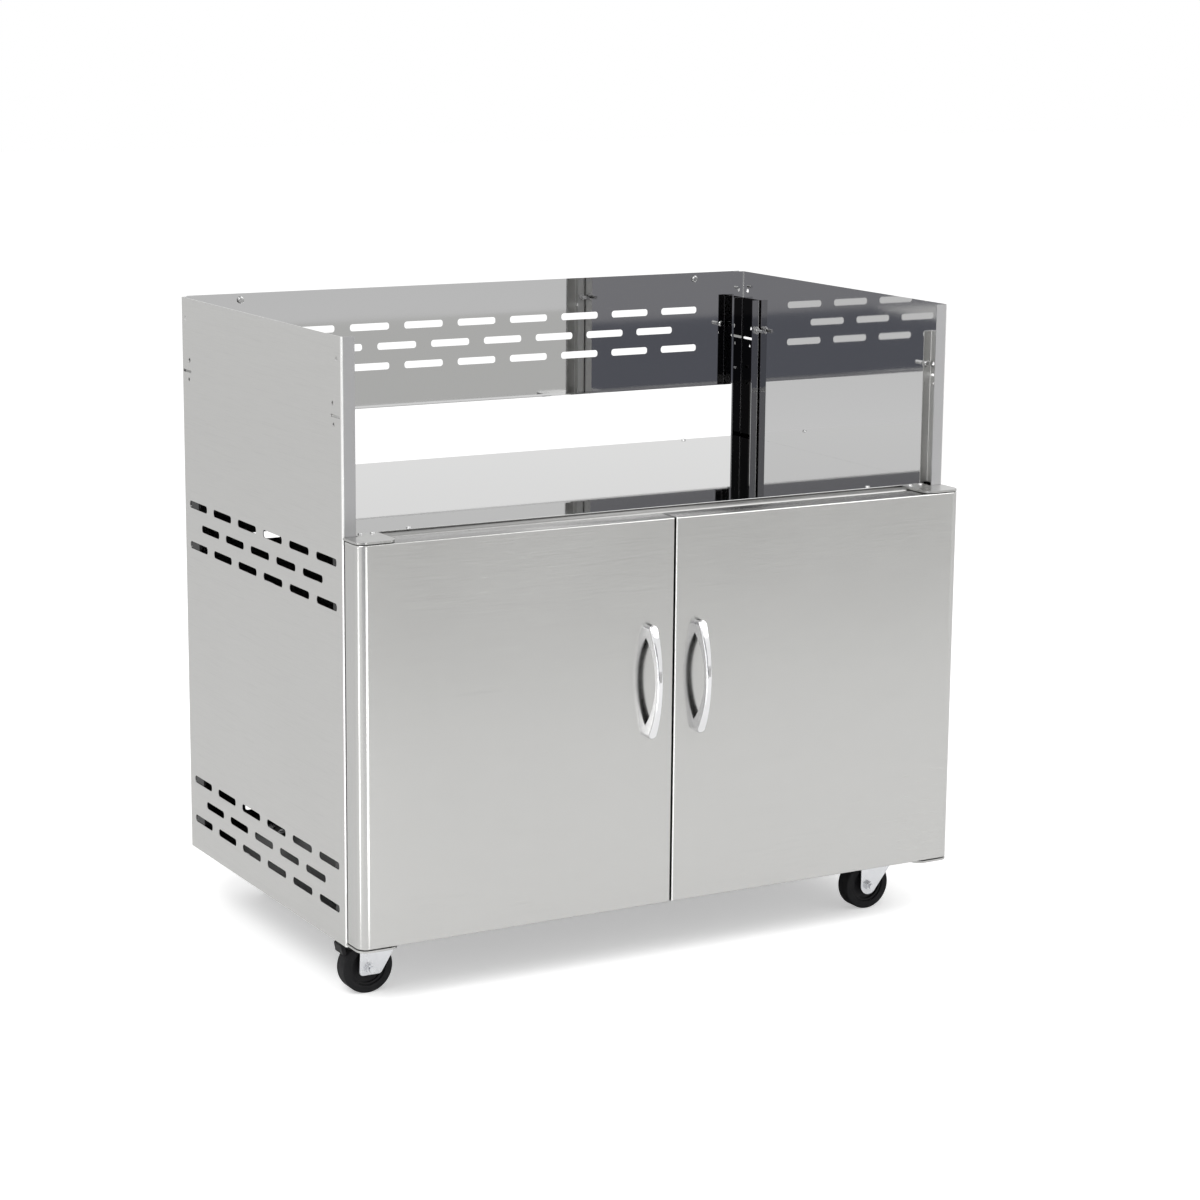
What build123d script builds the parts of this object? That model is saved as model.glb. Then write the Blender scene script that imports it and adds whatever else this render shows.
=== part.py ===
from build123d import *
import os
from math import cos, radians, sin

os.makedirs("parts", exist_ok=True)

# Grill cart in millimetres: X across the width, Y from front to back, Z up from the floor.

# Cabinet sheets
width = 990.0  # over the side panels
body_depth = 572.0  # over the side panels' flanges
panel_height = 849.0  # side panels, bottom edge to top edge
ground = 84.0  # floor to the side panels' bottom edge
sheet = 1.2  # cabinet and door sheet
bend = 1.5  # inside radius of the folds
flange = 20.0  # front and rear flanges of the side panels
seat = 0.1  # clearance between nested pieces

# Vent slots
slot_length = 67.0
slot_width = 11.0
slot_corner = 4.5
slot_pitch = 92.8  # along a row
row_pitch = 31.0  # from row to row
side_slots = 6  # slots in the long rows of a side panel
back_slots = 9  # slots in the long rows of a back panel
upper_vent_z = 508.0  # middle row of the upper group, above the panels' bottom
lower_vent_z = 80.0  # middle row of the lower group
bay_vent_z = 758.0  # middle row of the upper back panel

# Shelf fixing holes in the side panels, the rear ones mirrored
top_hole_r = 3.25
top_hole_inset = 15.0  # from the panel's front or rear face
top_hole_z = 818.0
shelf_hole_r = 3.25
shelf_hole_inset = 29.0
shelf_hole_z = 757.0
hook_slot_length = 30.0
hook_slot_width = 4.0
hook_slot_inset = 20.0
hook_slot_z = 740.0
low_hole_r = 2.75
low_hole_inset = 26.0
low_hole_z = 728.0

# Corner posts
post_foot = 18.0  # behind the flange
front_post_depth = 36.0  # along the side panel
rear_post_depth = 53.0
post_cross = 14.0  # inner leg across the bay
post_sheet = 1.5
post_height = 806.0  # top end, above the panels' bottom

# Back panels
back_margin = 9.0  # side panels' outer faces to the back panels' ends
bay_back_bottom = 664.0  # lower edge of the upper back panel
bay_back_rise = 1.0  # its top edge above the side panels
back_fold = 10.0  # folded edge of the upper back panel
deck_ledge = 24.0  # folded top edge of the lower back panel
ledge_margin = 27.0  # side panels' outer faces to the ends of the folded edges

# Deck and rail
deck_setback = 25.0  # front edge of the deck behind the flanges
deck_hem = 18.0
deck_lip = 6.0  # front edge beyond the hem
deck_skirt = 20.0
deck_nose = 0.5  # radius of the front edge
rail_height = 40.0
rail_depth = 44.0
rail_lip = 20.0
rail_bend = 3.0

# Base
base_height = 16.2  # top of the base above the panels' bottom
base_lip = 14.0

# Doors
door_gap = 7.0  # between a door and the flanges
door_depth = 40.0
door_lift = 7.0  # lower edge above the panels' bottom
door_height = 566.5
door_split = 3.0  # gap between the doors
door_bend = 15.0  # outer vertical edge
door_edge = 2.0  # other edges
liner_depth = 12.0
liner_recess = 0.5

# Door hinges
hinge_gap = 1.0  # door to hinge plate
plate_thick = 3.0
plate_length = 61.0
plate_corner = 15.0
tab_length = 38.0
tab_corner = 9.0
pivot_inset = 11.0  # pin from the door's outer edge
pivot_back = 18.0  # pin from the door's rear edge
pin_r = 4.0
pin_length = 14.0
pin_chamfer = 1.0
running = 0.05  # radial clearance of a turning fit
bush_r = 5.5
bush_length = 8.0
bush_flange_r = 7.5
bush_play = 0.2  # bush flange to hinge plate

# Catches
catch_x = 35.0
catch_length = 38.0
catch_height = 13.0
catch_depth = 24.0
catch_gap = 0.5
catch_corner = 2.0
strike_length = 32.0
strike_height = 12.0
strike_thick = 1.5

# Handles
handle_x = 40.5  # from the cart's centre
handle_z = 340.0  # middle, above the panels' bottom
handle_length = 166.0
handle_span = 150.0  # between the fixing screws
handle_rise = 33.0  # front of the bow above the door, at its middle
handle_end_rise = 11.0  # at its ends
grip_thick = 8.0  # bow's thickness at the middle
foot_gap = 128.0  # between the feet
grip_width = 9.4  # at the middle
foot_width = 14.0
handle_edge = 3.0  # rounding of the front
handle_wall = 1.6  # sides of the hollow in the bow's back
handle_skin = 3.0  # front wall and ends of that hollow

# Fasteners
screw_r = 2.0
screw_head_r = 3.6
screw_head = 2.2
screw_length = 8.0
head_taper = 20.0  # slope of a pan head's side, in degrees
bolt_r = 3.0
bolt_head_r = 5.25
bolt_head = 3.3
bolt_length = 26.0  # grill bolts, under the head
bolt_tail = 2.0  # caster bolts, beyond the nut
nut_flats = 10.0
nut_height = 5.0
hole_play = 0.15  # radial clearance round a fastener
deck_screw_margin = 114.0  # from the side panels' outer faces
deck_screw_inset = 32.0
ledge_screw_margin = 120.0
ledge_screw_inset = 14.0
back_screw_inset = 5.0  # from the back panels' ends
shield_screw_margin = 95.0
shield_screw_drop = 9.0
edge_screw_inset = 26.0  # back panel screws from the panels' ends
hinge_screw_pitch = 18.5
hinge_screw_inset = 11.0  # from the tab's inner end
hinge_screw_y = 12.0
low_hinge_screw_y = 8.0
handle_screw_bite = 4.0

# Casters
front_kingpin_margin = 71.5  # from the side panels' outer faces
rear_kingpin_margin = 150.0  # further in, out of sight behind the side panels
kingpin_inset = 45.0  # from the panels' front or rear face
trail = 22.8
wheel_r = 38.0
wheel_width = 25.0
tyre_edge = 2.5
core_r = 27.0
core_recess = 4.5
core_boss_r = 12.0
core_rim = 4.0
fork_side_gap = 1.5  # tyre to fork leg
fork_sheet = 2.5
fork_clear = 150.0  # length of the cut between the fork legs
leg_r = 14.0  # lower end of a plain fork leg
leg_top = 20.0  # fork's bridge behind the kingpin
leg_shoulder_r = 7.0
leg_front = 27.0  # fork's bridge ahead of the kingpin
leg_front_r = 10.0
crown_r = 23.0
race_r = 21.0
race_height = 4.0
race_gap = 0.3
mount_length = 72.0
mount_width = 56.0
mount_thick = 2.5
mount_corner = 6.0
mount_hole_x = 54.0
mount_hole_y = 38.0
kingpin_r = 5.0
kingpin_head_r = 8.0
kingpin_head = 3.0
axle_r = 4.0
sleeve_r = 6.0
axle_flats = 13.0
axle_head = 5.0
axle_nut = 6.5
axle_tail = 3.0
core_end_play = 0.5

# Brakes of the two left casters
brake_leg_corner = 6.0
brake_leg_drop = 4.0  # corner centres below the axle
brake_leg_rear = 9.5
brake_leg_front = 14.0
pedal_x = -42.0  # pivot from the kingpin
pedal_z = 76.5  # pivot above the floor
ear_r = 6.0
pedal_pin_r = 2.5
pedal_hub_r = 4.5
pedal_width = 24.0
pedal_reach = 20.0  # pivot to tip, along the cart
pedal_fall = 2.5  # tip below the pivot
pedal_tip_r = 2.5
lobe_drop = 10.0  # lower lobe of the tip
lobe_back = 2.5  # lobe from the tip towards the pivot
lobe_r = 3.0
shoe_r = 3.5
shoe_gap = 2.0  # shoe to tyre, released
shoe_angle = 130.0  # place of the shoe round the wheel
pin_head = 1.5
pin_head_r = 4.0

# Places worked out from the sizes above
back_reach = sheet + max(screw_head, nut_height)
front = (handle_rise + door_depth + door_gap - body_depth - back_reach) / 2
rear = front + body_depth
middle = (front + rear) / 2
door_back = front - door_gap
door_front = door_back - door_depth
door_bottom = ground + door_lift
door_top = door_bottom + door_height
rail_top = door_top + hinge_gap
low_plate_top = door_bottom - hinge_gap
deck_top = rail_top + 2 * sheet
panel_top = ground + panel_height
base_top = ground + base_height
base_under = base_top - sheet
nest_x = width / 2 - sheet - seat  # inside of a side panel
notch_x = nest_x - post_cross - seat  # inside of a post's cross leg
post_depth = {"front": front_post_depth, "rear": rear_post_depth}
grill_bolt_x = nest_x - post_sheet - bend - bolt_head_r - seat
grill_bolt_z = ground + shelf_hole_z  # level with the shelf holes
nest_front = front + sheet + seat
nest_rear = rear - sheet - seat
rail_front = nest_front + post_sheet + seat
back_width = width - 2 * back_margin
ledge_width = width - 2 * ledge_margin
back_screw_x = back_width / 2 - back_screw_inset
deck_screw_x = width / 2 - deck_screw_margin
ledge_screw_x = width / 2 - ledge_screw_margin
shield_screw_x = width / 2 - shield_screw_margin
kingpin_x = {"front": width / 2 - front_kingpin_margin, "rear": width / 2 - rear_kingpin_margin}
pivot_x = width / 2 - pivot_inset
pivot_y = door_back - pivot_back
leg_inner = wheel_width / 2 + fork_side_gap
leg_outer = leg_inner + fork_sheet
mount_under = base_under - mount_thick
race_under = mount_under - race_height
crown_top = race_under - race_gap
crown_under = crown_top - fork_sheet
upper_screw_z = [ground + bay_back_bottom + edge_screw_inset, panel_top - edge_screw_inset]
lower_screw_z = [base_top + edge_screw_inset, (base_top + rail_top) / 2, rail_top - edge_screw_inset]
back_plane = Plane((0, rear + sheet, 0), x_dir=(1, 0, 0), z_dir=(0, -1, 0))
sides = {"left": -1, "right": 1}
ends = {"front": 1, "rear": -1}


def save(built, name):
    """Label a finished piece and write its file."""
    built.part.label = name
    export_step(built.part, f"parts/{name}.step")


def end_y(end, inset):
    """Y of a point at an inset from the cabinet's front or rear face."""
    return front + inset if end > 0 else rear - inset


def vent_rows(count):
    """Centres of three staggered rows of slots: a long row, one slot less, a long row."""
    places = []
    for row in (-1, 0, 1):
        slots = count if row else count - 1
        first = -(slots - 1) / 2 * slot_pitch
        places += [(first + slot_pitch * i, row * row_pitch) for i in range(slots)]
    return places


def hexagon(flats):
    """Radius to the corners of a hexagon of a given width across flats."""
    return flats / 2 / cos(radians(30))


def round_bar(start, direction, radius, length):
    """Add a round bar to the open part, from a point along a direction."""
    with BuildSketch(Plane(start, z_dir=direction)) as section:
        Circle(radius)
    extrude(section.sketch, amount=length)


def pan_screw(seat_point, direction, radius, head_r, head, length):
    """Add a pan-head screw to the open part: seat under the head, shank along the direction."""
    outward = tuple(-v for v in direction)
    round_bar(seat_point, direction, radius, length)
    with BuildSketch(Plane(seat_point, z_dir=outward)) as section:
        Circle(head_r)
    extrude(section.sketch, amount=head, taper=head_taper)


def hex_nut(face_point, direction, bore_r, flats, height):
    """Add a hexagon nut to the open part, standing on a face along the direction."""
    with BuildSketch(Plane(face_point, z_dir=direction)) as section:
        RegularPolygon(hexagon(flats), 6)
        Circle(bore_r, mode=Mode.SUBTRACT)
    extrude(section.sketch, amount=height)


def side_holes(side, end):
    """Cut the shelf holes shared by a side panel and the post behind it."""
    with BuildSketch(Plane((side * width / 2, 0, ground), x_dir=(0, 1, 0), z_dir=(1, 0, 0))) as holes:
        with Locations((end_y(end, shelf_hole_inset), shelf_hole_z)):
            Circle(shelf_hole_r)
        with Locations((end_y(end, low_hole_inset), low_hole_z)):
            Circle(low_hole_r)
        with Locations((end_y(end, hook_slot_inset), hook_slot_z)):
            SlotOverall(hook_slot_length, hook_slot_width)
    extrude(holes.sketch, amount=sheet + post_sheet + 2 * seat, both=True, mode=Mode.SUBTRACT)


def rear_holes(side):
    """Cut the back panels' screw holes in the rear leg of a side panel or a post."""
    with BuildSketch(back_plane) as holes:
        with Locations(*[(side * back_screw_x, z) for z in upper_screw_z + lower_screw_z]):
            Circle(screw_r + hole_play)
    extrude(holes.sketch, amount=screw_length, mode=Mode.SUBTRACT)


# Side panels, each a folded sheet with vents and shelf holes
for name, side in sides.items():
    web_x = side * (width - sheet) / 2
    edge_x = side * (width / 2 - flange)
    with BuildPart() as side_panel:
        with BuildSketch(Plane.XY.offset(ground)):
            with BuildLine():
                FilletPolyline(
                    (edge_x, front + sheet / 2),
                    (web_x, front + sheet / 2),
                    (web_x, rear - sheet / 2),
                    (edge_x, rear - sheet / 2),
                    radius=bend + sheet / 2,
                )
            trace(line_width=sheet)
        extrude(amount=panel_height)
        with BuildSketch(Plane((side * width / 2, middle, ground), x_dir=(0, 1, 0), z_dir=(1, 0, 0))):
            for group_z in (upper_vent_z, lower_vent_z):
                with Locations(*[(y, group_z + z) for y, z in vent_rows(side_slots)]):
                    RectangleRounded(slot_length, slot_width, slot_corner)
            with GridLocations(body_depth - 2 * top_hole_inset, 0, 2, 1):
                with Locations((0, top_hole_z)):
                    Circle(top_hole_r)
        extrude(amount=2 * sheet, both=True, mode=Mode.SUBTRACT)
        for end in ends.values():
            side_holes(side, end)
        rear_holes(side)
    save(side_panel, f"{name}_side_panel")

# Corner posts, folded channels nested in the side panels, with the grill bolts' holes
for end_name, end in ends.items():
    for name, side in sides.items():
        corner_x = side * (nest_x - post_sheet / 2)
        corner_y = end_y(end, sheet + seat + post_sheet / 2)
        cross_y = end_y(end, sheet + seat + post_depth[end_name] - post_sheet / 2)
        with BuildPart() as post:
            with BuildSketch(Plane.XY.offset(base_top)):
                with BuildLine():
                    FilletPolyline(
                        (side * (nest_x - post_foot), corner_y),
                        (corner_x, corner_y),
                        (corner_x, cross_y),
                        (side * (nest_x - post_cross), cross_y),
                        radius=bend + post_sheet / 2,
                    )
                trace(line_width=post_sheet)
            extrude(amount=ground + post_height - base_top)
            side_holes(side, end)
            rear_holes(side)
            with BuildSketch(Plane((side * grill_bolt_x, cross_y, grill_bolt_z), z_dir=(0, 1, 0))):
                Circle(bolt_r + hole_play)
            extrude(amount=post_sheet, both=True, mode=Mode.SUBTRACT)
        save(post, f"{end_name}_{name}_post")

# Upper back panel with its folded lower edge
shield_screws = [(s * shield_screw_x, panel_top - shield_screw_drop) for s in sides.values()]
with BuildPart() as upper_back:
    with BuildSketch(back_plane):
        with Locations((0, ground + bay_back_bottom)):
            Rectangle(back_width, panel_top + bay_back_rise - ground - bay_back_bottom,
                      align=(Align.CENTER, Align.MIN))
        with Locations(*[(x, ground + bay_vent_z + z) for x, z in vent_rows(back_slots)]):
            RectangleRounded(slot_length, slot_width, slot_corner, mode=Mode.SUBTRACT)
        with Locations(*[(s * back_screw_x, z) for s in sides.values() for z in upper_screw_z]):
            Circle(screw_r + hole_play, mode=Mode.SUBTRACT)
        with Locations(*shield_screws):
            Circle(bolt_r + hole_play, mode=Mode.SUBTRACT)
    extrude(amount=sheet)
    with BuildSketch(Plane.XY.offset(ground + bay_back_bottom)):
        with Locations((0, rear + sheet)):
            Rectangle(ledge_width, sheet + back_fold, align=(Align.CENTER, Align.MAX))
    extrude(amount=sheet)
save(upper_back, "upper_back_panel")

# Lower back panel with the ledge that carries the deck
ledge_screws = [(s * ledge_screw_x, rear - ledge_screw_inset) for s in sides.values()]
with BuildPart() as lower_back:
    with BuildSketch(back_plane):
        with Locations((0, ground + sheet)):
            Rectangle(back_width, rail_top - ground - sheet, align=(Align.CENTER, Align.MIN))
        for group_z in (upper_vent_z, lower_vent_z):
            with Locations(*[(x, ground + group_z + z) for x, z in vent_rows(back_slots)]):
                RectangleRounded(slot_length, slot_width, slot_corner, mode=Mode.SUBTRACT)
        with Locations(*[(s * back_screw_x, z) for s in sides.values() for z in lower_screw_z]):
            Circle(screw_r + hole_play, mode=Mode.SUBTRACT)
    extrude(amount=sheet)
    with BuildSketch(Plane.XY.offset(rail_top)):
        with Locations((0, rear + sheet)):
            Rectangle(ledge_width, sheet + deck_ledge, align=(Align.CENTER, Align.MAX))
        with Locations(*ledge_screws):
            Circle(screw_r + hole_play, mode=Mode.SUBTRACT)
    extrude(amount=-sheet)
save(lower_back, "lower_back_panel")

# Deck, a folded sheet notched round the posts
deck_front = front + deck_setback
deck_rear = nest_rear - post_sheet - bend
notch_front = nest_front + front_post_depth + seat
notch_rear = nest_rear - rear_post_depth - seat
deck_screws = [(s * deck_screw_x, front + deck_screw_inset) for s in sides.values()]
with BuildPart() as deck:
    with BuildSketch(Plane.XY.offset(deck_top)):
        with Locations((0, deck_front)):
            Rectangle(2 * notch_x, deck_rear - deck_front, align=(Align.CENTER, Align.MIN))
        with Locations((0, notch_front)):
            Rectangle(2 * nest_x, notch_rear - notch_front, align=(Align.CENTER, Align.MIN))
    extrude(amount=-sheet)
    with BuildSketch(Plane.XY.offset(rail_top)):
        with Locations((0, deck_front + deck_lip)):
            Rectangle(2 * notch_x, deck_hem, align=(Align.CENTER, Align.MIN))
        with Locations((0, deck_rear)):
            Rectangle(ledge_width, deck_hem, align=(Align.CENTER, Align.MAX))
    extrude(amount=sheet)
    with BuildSketch(Plane.XY.offset(deck_top)):
        with Locations((-nest_x, notch_front)):
            Rectangle(sheet, notch_rear - notch_front, align=(Align.MIN, Align.MIN))
        with Locations((nest_x, notch_front)):
            Rectangle(sheet, notch_rear - notch_front, align=(Align.MAX, Align.MIN))
    extrude(amount=-deck_skirt)
    nose = deck.edges().filter_by(Axis.X).filter_by_position(Axis.Y, deck_front, deck_front)
    fillet(nose, deck_nose)
    with BuildSketch(Plane.XY.offset(deck_top)):
        with Locations(*deck_screws, *ledge_screws):
            Circle(screw_r + hole_play)
    extrude(amount=-deck_skirt, mode=Mode.SUBTRACT)
save(deck, "deck_panel")

# Front top rail, a channel behind the posts' front legs
tab_inner_x = width / 2 - plate_length
hinge_screw_x = [tab_inner_x + hinge_screw_inset + hinge_screw_pitch * i for i in (0, 1)]
hinge_screws = [(s * x, front + hinge_screw_y) for s in sides.values() for x in hinge_screw_x]
with BuildPart() as rail:
    with BuildSketch(Plane.YZ):
        with BuildLine():
            FilletPolyline(
                (rail_front + rail_depth, rail_top - sheet / 2),
                (rail_front + sheet / 2, rail_top - sheet / 2),
                (rail_front + sheet / 2, rail_top - rail_height + sheet / 2),
                (rail_front + rail_lip, rail_top - rail_height + sheet / 2),
                radius=rail_bend + sheet / 2,
            )
        trace(line_width=sheet)
    extrude(amount=notch_x, both=True)
    with BuildSketch(Plane.XY.offset(rail_top)):
        with Locations(*hinge_screws, *deck_screws):
            Circle(screw_r + hole_play)
    extrude(amount=-rail_height / 2, mode=Mode.SUBTRACT)
save(rail, "front_top_rail")

# Base, an inverted tray with a lip all round and the caster holes
kingpins = {(e, s): (sides[s] * kingpin_x[e], end_y(ends[e], kingpin_inset)) for e in ends for s in sides}
mount_holes = [
    (x + i * mount_hole_x / 2, y + j * mount_hole_y / 2)
    for x, y in kingpins.values() for i in (-1, 1) for j in (-1, 1)
]
low_hinge_screws = [(s * x, front + low_hinge_screw_y) for s in sides.values() for x in hinge_screw_x]
base_length = nest_rear - nest_front
with BuildPart() as base:
    with BuildSketch(Plane.XY.offset(low_plate_top)):
        with Locations((0, middle)):
            Rectangle(2 * nest_x, base_length)
    extrude(amount=base_top - low_plate_top)
    fillet(base.edges().filter_by(Axis.Z), bend + seat)
    with BuildSketch(Plane.XY.offset(low_plate_top + sheet)):
        with Locations((0, middle)):
            Rectangle(2 * (nest_x - sheet), base_length - 2 * sheet)
    extrude(amount=base_under - low_plate_top - sheet, mode=Mode.SUBTRACT)
    with BuildSketch(Plane.XY.offset(low_plate_top)):
        with Locations((0, middle)):
            Rectangle(2 * (nest_x - base_lip), base_length - 2 * base_lip)
        with Locations(*low_hinge_screws):
            Circle(screw_r + hole_play)
    extrude(amount=sheet, mode=Mode.SUBTRACT)
    with BuildSketch(Plane.XY.offset(base_under)):
        with Locations(*mount_holes):
            Circle(bolt_r + hole_play)
    extrude(amount=sheet, mode=Mode.SUBTRACT)
save(base, "base_panel")

# Hinge plates: a rounded ear over the door's corner and a tab on the rail or the base
for level in ("upper", "lower"):
    plate_under = rail_top if level == "upper" else low_plate_top - plate_thick
    tab_back = deck_front - hinge_gap if level == "upper" else nest_front + base_lip
    screw_y = hinge_screw_y if level == "upper" else low_hinge_screw_y
    for name, side in sides.items():
        inner = side * tab_inner_x
        outer = side * width / 2
        with BuildPart() as plate:
            with BuildSketch(Plane.XY.offset(plate_under)):
                with Locations(((inner + outer) / 2, (door_front + front - hinge_gap) / 2)):
                    Rectangle(plate_length, front - hinge_gap - door_front)
                with Locations((inner + side * tab_length / 2, tab_back)):
                    Rectangle(tab_length, tab_back - door_front, align=(Align.CENTER, Align.MAX))
            extrude(amount=plate_thick)
            uprights = plate.edges().filter_by(Axis.Z)
            fillet(uprights.group_by(Axis.Y)[0], plate_corner)
            fillet(plate.edges().filter_by(Axis.Z).group_by(Axis.Y)[-1], tab_corner)
            with BuildSketch(Plane.XY.offset(plate_under)):
                with Locations(*[(side * x, front + screw_y) for x in hinge_screw_x]):
                    Circle(screw_r + hole_play)
            extrude(amount=plate_thick, mode=Mode.SUBTRACT)
        save(plate, f"{level}_{name}_hinge_plate")

# Hinge pins, welded stubs under the upper plates and on the lower ones
with BuildPart() as pins:
    for side in sides.values():
        round_bar((side * pivot_x, pivot_y, rail_top), (0, 0, -1), pin_r, pin_length)
        round_bar((side * pivot_x, pivot_y, low_plate_top), (0, 0, 1), pin_r, pin_length)
    tips = pins.edges().filter_by(GeomType.CIRCLE)
    pin_tip_z = (rail_top - pin_length, low_plate_top + pin_length)
    chamfer(tips.filter_by(lambda e: min(abs(e.center().Z - z) for z in pin_tip_z) < seat), pin_chamfer)
save(pins, "hinge_pins")

# Screws of the hinge plates, the deck and the back panels
with BuildPart() as plate_screws:
    for x, y in hinge_screws:
        pan_screw((x, y, rail_top + plate_thick), (0, 0, -1), screw_r, screw_head_r, screw_head, screw_length)
    for x, y in low_hinge_screws:
        pan_screw((x, y, low_plate_top - plate_thick), (0, 0, 1), screw_r, screw_head_r, screw_head,
                  screw_length)
save(plate_screws, "hinge_plate_screws")

with BuildPart() as deck_fixings:
    for x, y in deck_screws + ledge_screws:
        pan_screw((x, y, deck_top), (0, 0, -1), screw_r, screw_head_r, screw_head, screw_length)
save(deck_fixings, "deck_screws")

with BuildPart() as back_fixings:
    for side in sides.values():
        for z in upper_screw_z + lower_screw_z:
            pan_screw((side * back_screw_x, rear + sheet, z), (0, -1, 0), screw_r, screw_head_r, screw_head,
                      screw_length)
    for x, z in shield_screws:
        pan_screw((x, rear, z), (0, 1, 0), bolt_r, bolt_head_r, bolt_head, sheet + nut_height)
        hex_nut((x, rear + sheet, z), (0, 1, 0), bolt_r + hole_play, nut_flats, nut_height)
save(back_fixings, "back_panel_screws")

# Grill bolts through the posts' cross legs, with their nuts towards the bay
with BuildPart() as grill_bolts:
    for side in sides.values():
        for end_name, end in ends.items():
            x = side * grill_bolt_x
            nut_y = end_y(end, sheet + seat + post_depth[end_name])
            head_y = end_y(end, sheet + seat + post_depth[end_name] - post_sheet)
            inward = (0, end, 0)
            pan_screw((x, head_y, grill_bolt_z), inward, bolt_r, bolt_head_r, bolt_head, bolt_length)
            hex_nut((x, nut_y, grill_bolt_z), inward, bolt_r + hole_play, nut_flats, nut_height)
save(grill_bolts, "grill_bolts")

# Magnetic catches under the rail, with a nose that meets the strike plate
strike_back = door_back - liner_recess + strike_thick
catch_front = strike_back + catch_gap
catch_top = rail_top - rail_height
with BuildPart() as catches:
    for side in sides.values():
        with BuildSketch(Plane.XY.offset(catch_top)):
            with Locations((side * catch_x, catch_front)):
                Rectangle(catch_length, catch_depth, align=(Align.CENTER, Align.MIN))
        extrude(amount=-catch_height)
    fillet(catches.edges().filter_by(Axis.Z), catch_corner)
save(catches, "door_catches")


def door(name, side):
    """Build one door: shell, inner panel, handle, screws, bushes and strike plate."""
    outer_x = side * width / 2
    inner_x = side * door_split / 2
    centre_x = (outer_x + inner_x) / 2
    leaf = abs(outer_x - inner_x)
    grip_z = ground + handle_z
    screw_z = [grip_z - handle_span / 2, grip_z + handle_span / 2]

    with BuildPart() as shell:
        with BuildSketch(Plane.XY.offset(door_bottom)):
            with Locations((centre_x, door_back)):
                Rectangle(leaf, door_depth, align=(Align.CENTER, Align.MAX))
        extrude(amount=door_height)
        front_edges = shell.edges().group_by(Axis.Y)[0]
        uprights = front_edges.filter_by(Axis.Z).sort_by(Axis.X, reverse=side > 0)
        fillet(uprights[0], door_bend)
        rim = shell.faces().sort_by(Axis.Y)[0].edges().sort_by(Axis.X, reverse=side > 0)[1:]
        fillet(rim, door_edge)
        offset(amount=-sheet, openings=shell.faces().sort_by(Axis.Y)[-1])
        with BuildSketch(Plane.XY.offset(door_bottom)):
            with Locations((side * pivot_x, pivot_y)):
                Circle(bush_r + hole_play)
        extrude(amount=door_height, mode=Mode.SUBTRACT)
        with BuildSketch(Plane.XZ.offset(-door_front)):
            with Locations(*[(side * handle_x, z) for z in screw_z]):
                Circle(screw_r + hole_play)
        extrude(amount=2 * sheet, both=True, mode=Mode.SUBTRACT)
    save(shell, f"{name}_door_shell")

    liner_back = door_back - liner_recess
    with BuildPart() as liner:
        with BuildSketch(Plane.XY.offset(door_bottom + sheet + seat)):
            with Locations((centre_x, liner_back)):
                Rectangle(leaf - 2 * (sheet + seat), liner_depth, align=(Align.CENTER, Align.MAX))
        extrude(amount=door_height - 2 * (sheet + seat))
        fillet(liner.edges().filter_by(Axis.Y), door_edge)
        fillet(liner.faces().sort_by(Axis.Y)[-1].edges(), bend)
        offset(amount=-sheet, openings=liner.faces().sort_by(Axis.Y)[0])
    save(liner, f"{name}_door_liner")

    # The handle: a bow seen from the side, waisted seen from the front, and hollow behind
    half_length = handle_length / 2
    bow_plane = Plane((side * handle_x, door_front, grip_z), x_dir=(0, -1, 0), z_dir=(-1, 0, 0))
    face_plane = Plane((side * handle_x, door_front, grip_z), x_dir=(1, 0, 0), z_dir=(0, -1, 0))
    with BuildPart() as handle:
        with BuildSketch(bow_plane):
            with BuildLine():
                top = (handle_end_rise, half_length)
                bottom = (handle_end_rise, -half_length)
                ThreePointArc(bottom, (handle_rise, 0), top)
                Polyline(top, (0, half_length), (0, foot_gap / 2))
                ThreePointArc((0, foot_gap / 2), (handle_rise - grip_thick, 0), (0, -foot_gap / 2))
                Polyline((0, -foot_gap / 2), (0, -half_length), bottom)
            make_face()
        extrude(amount=foot_width, both=True)
        with BuildSketch(face_plane):
            tip_z = half_length - foot_width / 2
            with BuildLine():
                ThreePointArc((foot_width / 2, -tip_z), (grip_width / 2, 0), (foot_width / 2, tip_z))
                ThreePointArc((foot_width / 2, tip_z), (0, half_length), (-foot_width / 2, tip_z))
                ThreePointArc((-foot_width / 2, tip_z), (-grip_width / 2, 0), (-foot_width / 2, -tip_z))
                ThreePointArc((-foot_width / 2, -tip_z), (0, -half_length), (foot_width / 2, -tip_z))
            make_face()
        extrude(amount=2 * handle_rise, mode=Mode.INTERSECT)
        fillet(handle.faces().sort_by(Axis.Y)[0].edges(), handle_edge)
        with BuildSketch(bow_plane):
            bow_height = handle_rise - handle_end_rise
            bow_r = (half_length ** 2 + bow_height ** 2) / (2 * bow_height)
            hollow_z = foot_gap / 2 - handle_skin
            hollow_rise = handle_rise - handle_skin
            hollow_end = hollow_rise - bow_r + (bow_r ** 2 - hollow_z ** 2) ** 0.5
            with BuildLine():
                ThreePointArc((hollow_end, -hollow_z), (hollow_rise, 0), (hollow_end, hollow_z))
                Polyline((hollow_end, hollow_z), (0, hollow_z), (0, -hollow_z), (hollow_end, -hollow_z))
            make_face()
        extrude(amount=grip_width / 2 - handle_wall, both=True, mode=Mode.SUBTRACT)
        with BuildSketch(face_plane):
            with Locations(*[(0, z - grip_z) for z in screw_z]):
                Circle(screw_r + hole_play)
        extrude(amount=handle_screw_bite + hole_play, mode=Mode.SUBTRACT)
    save(handle, f"{name}_handle")

    with BuildPart() as screws:
        for z in screw_z:
            pan_screw((side * handle_x, door_front + sheet, z), (0, -1, 0), screw_r, screw_head_r,
                      screw_head, sheet + handle_screw_bite)
    save(screws, f"{name}_handle_screws")

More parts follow.
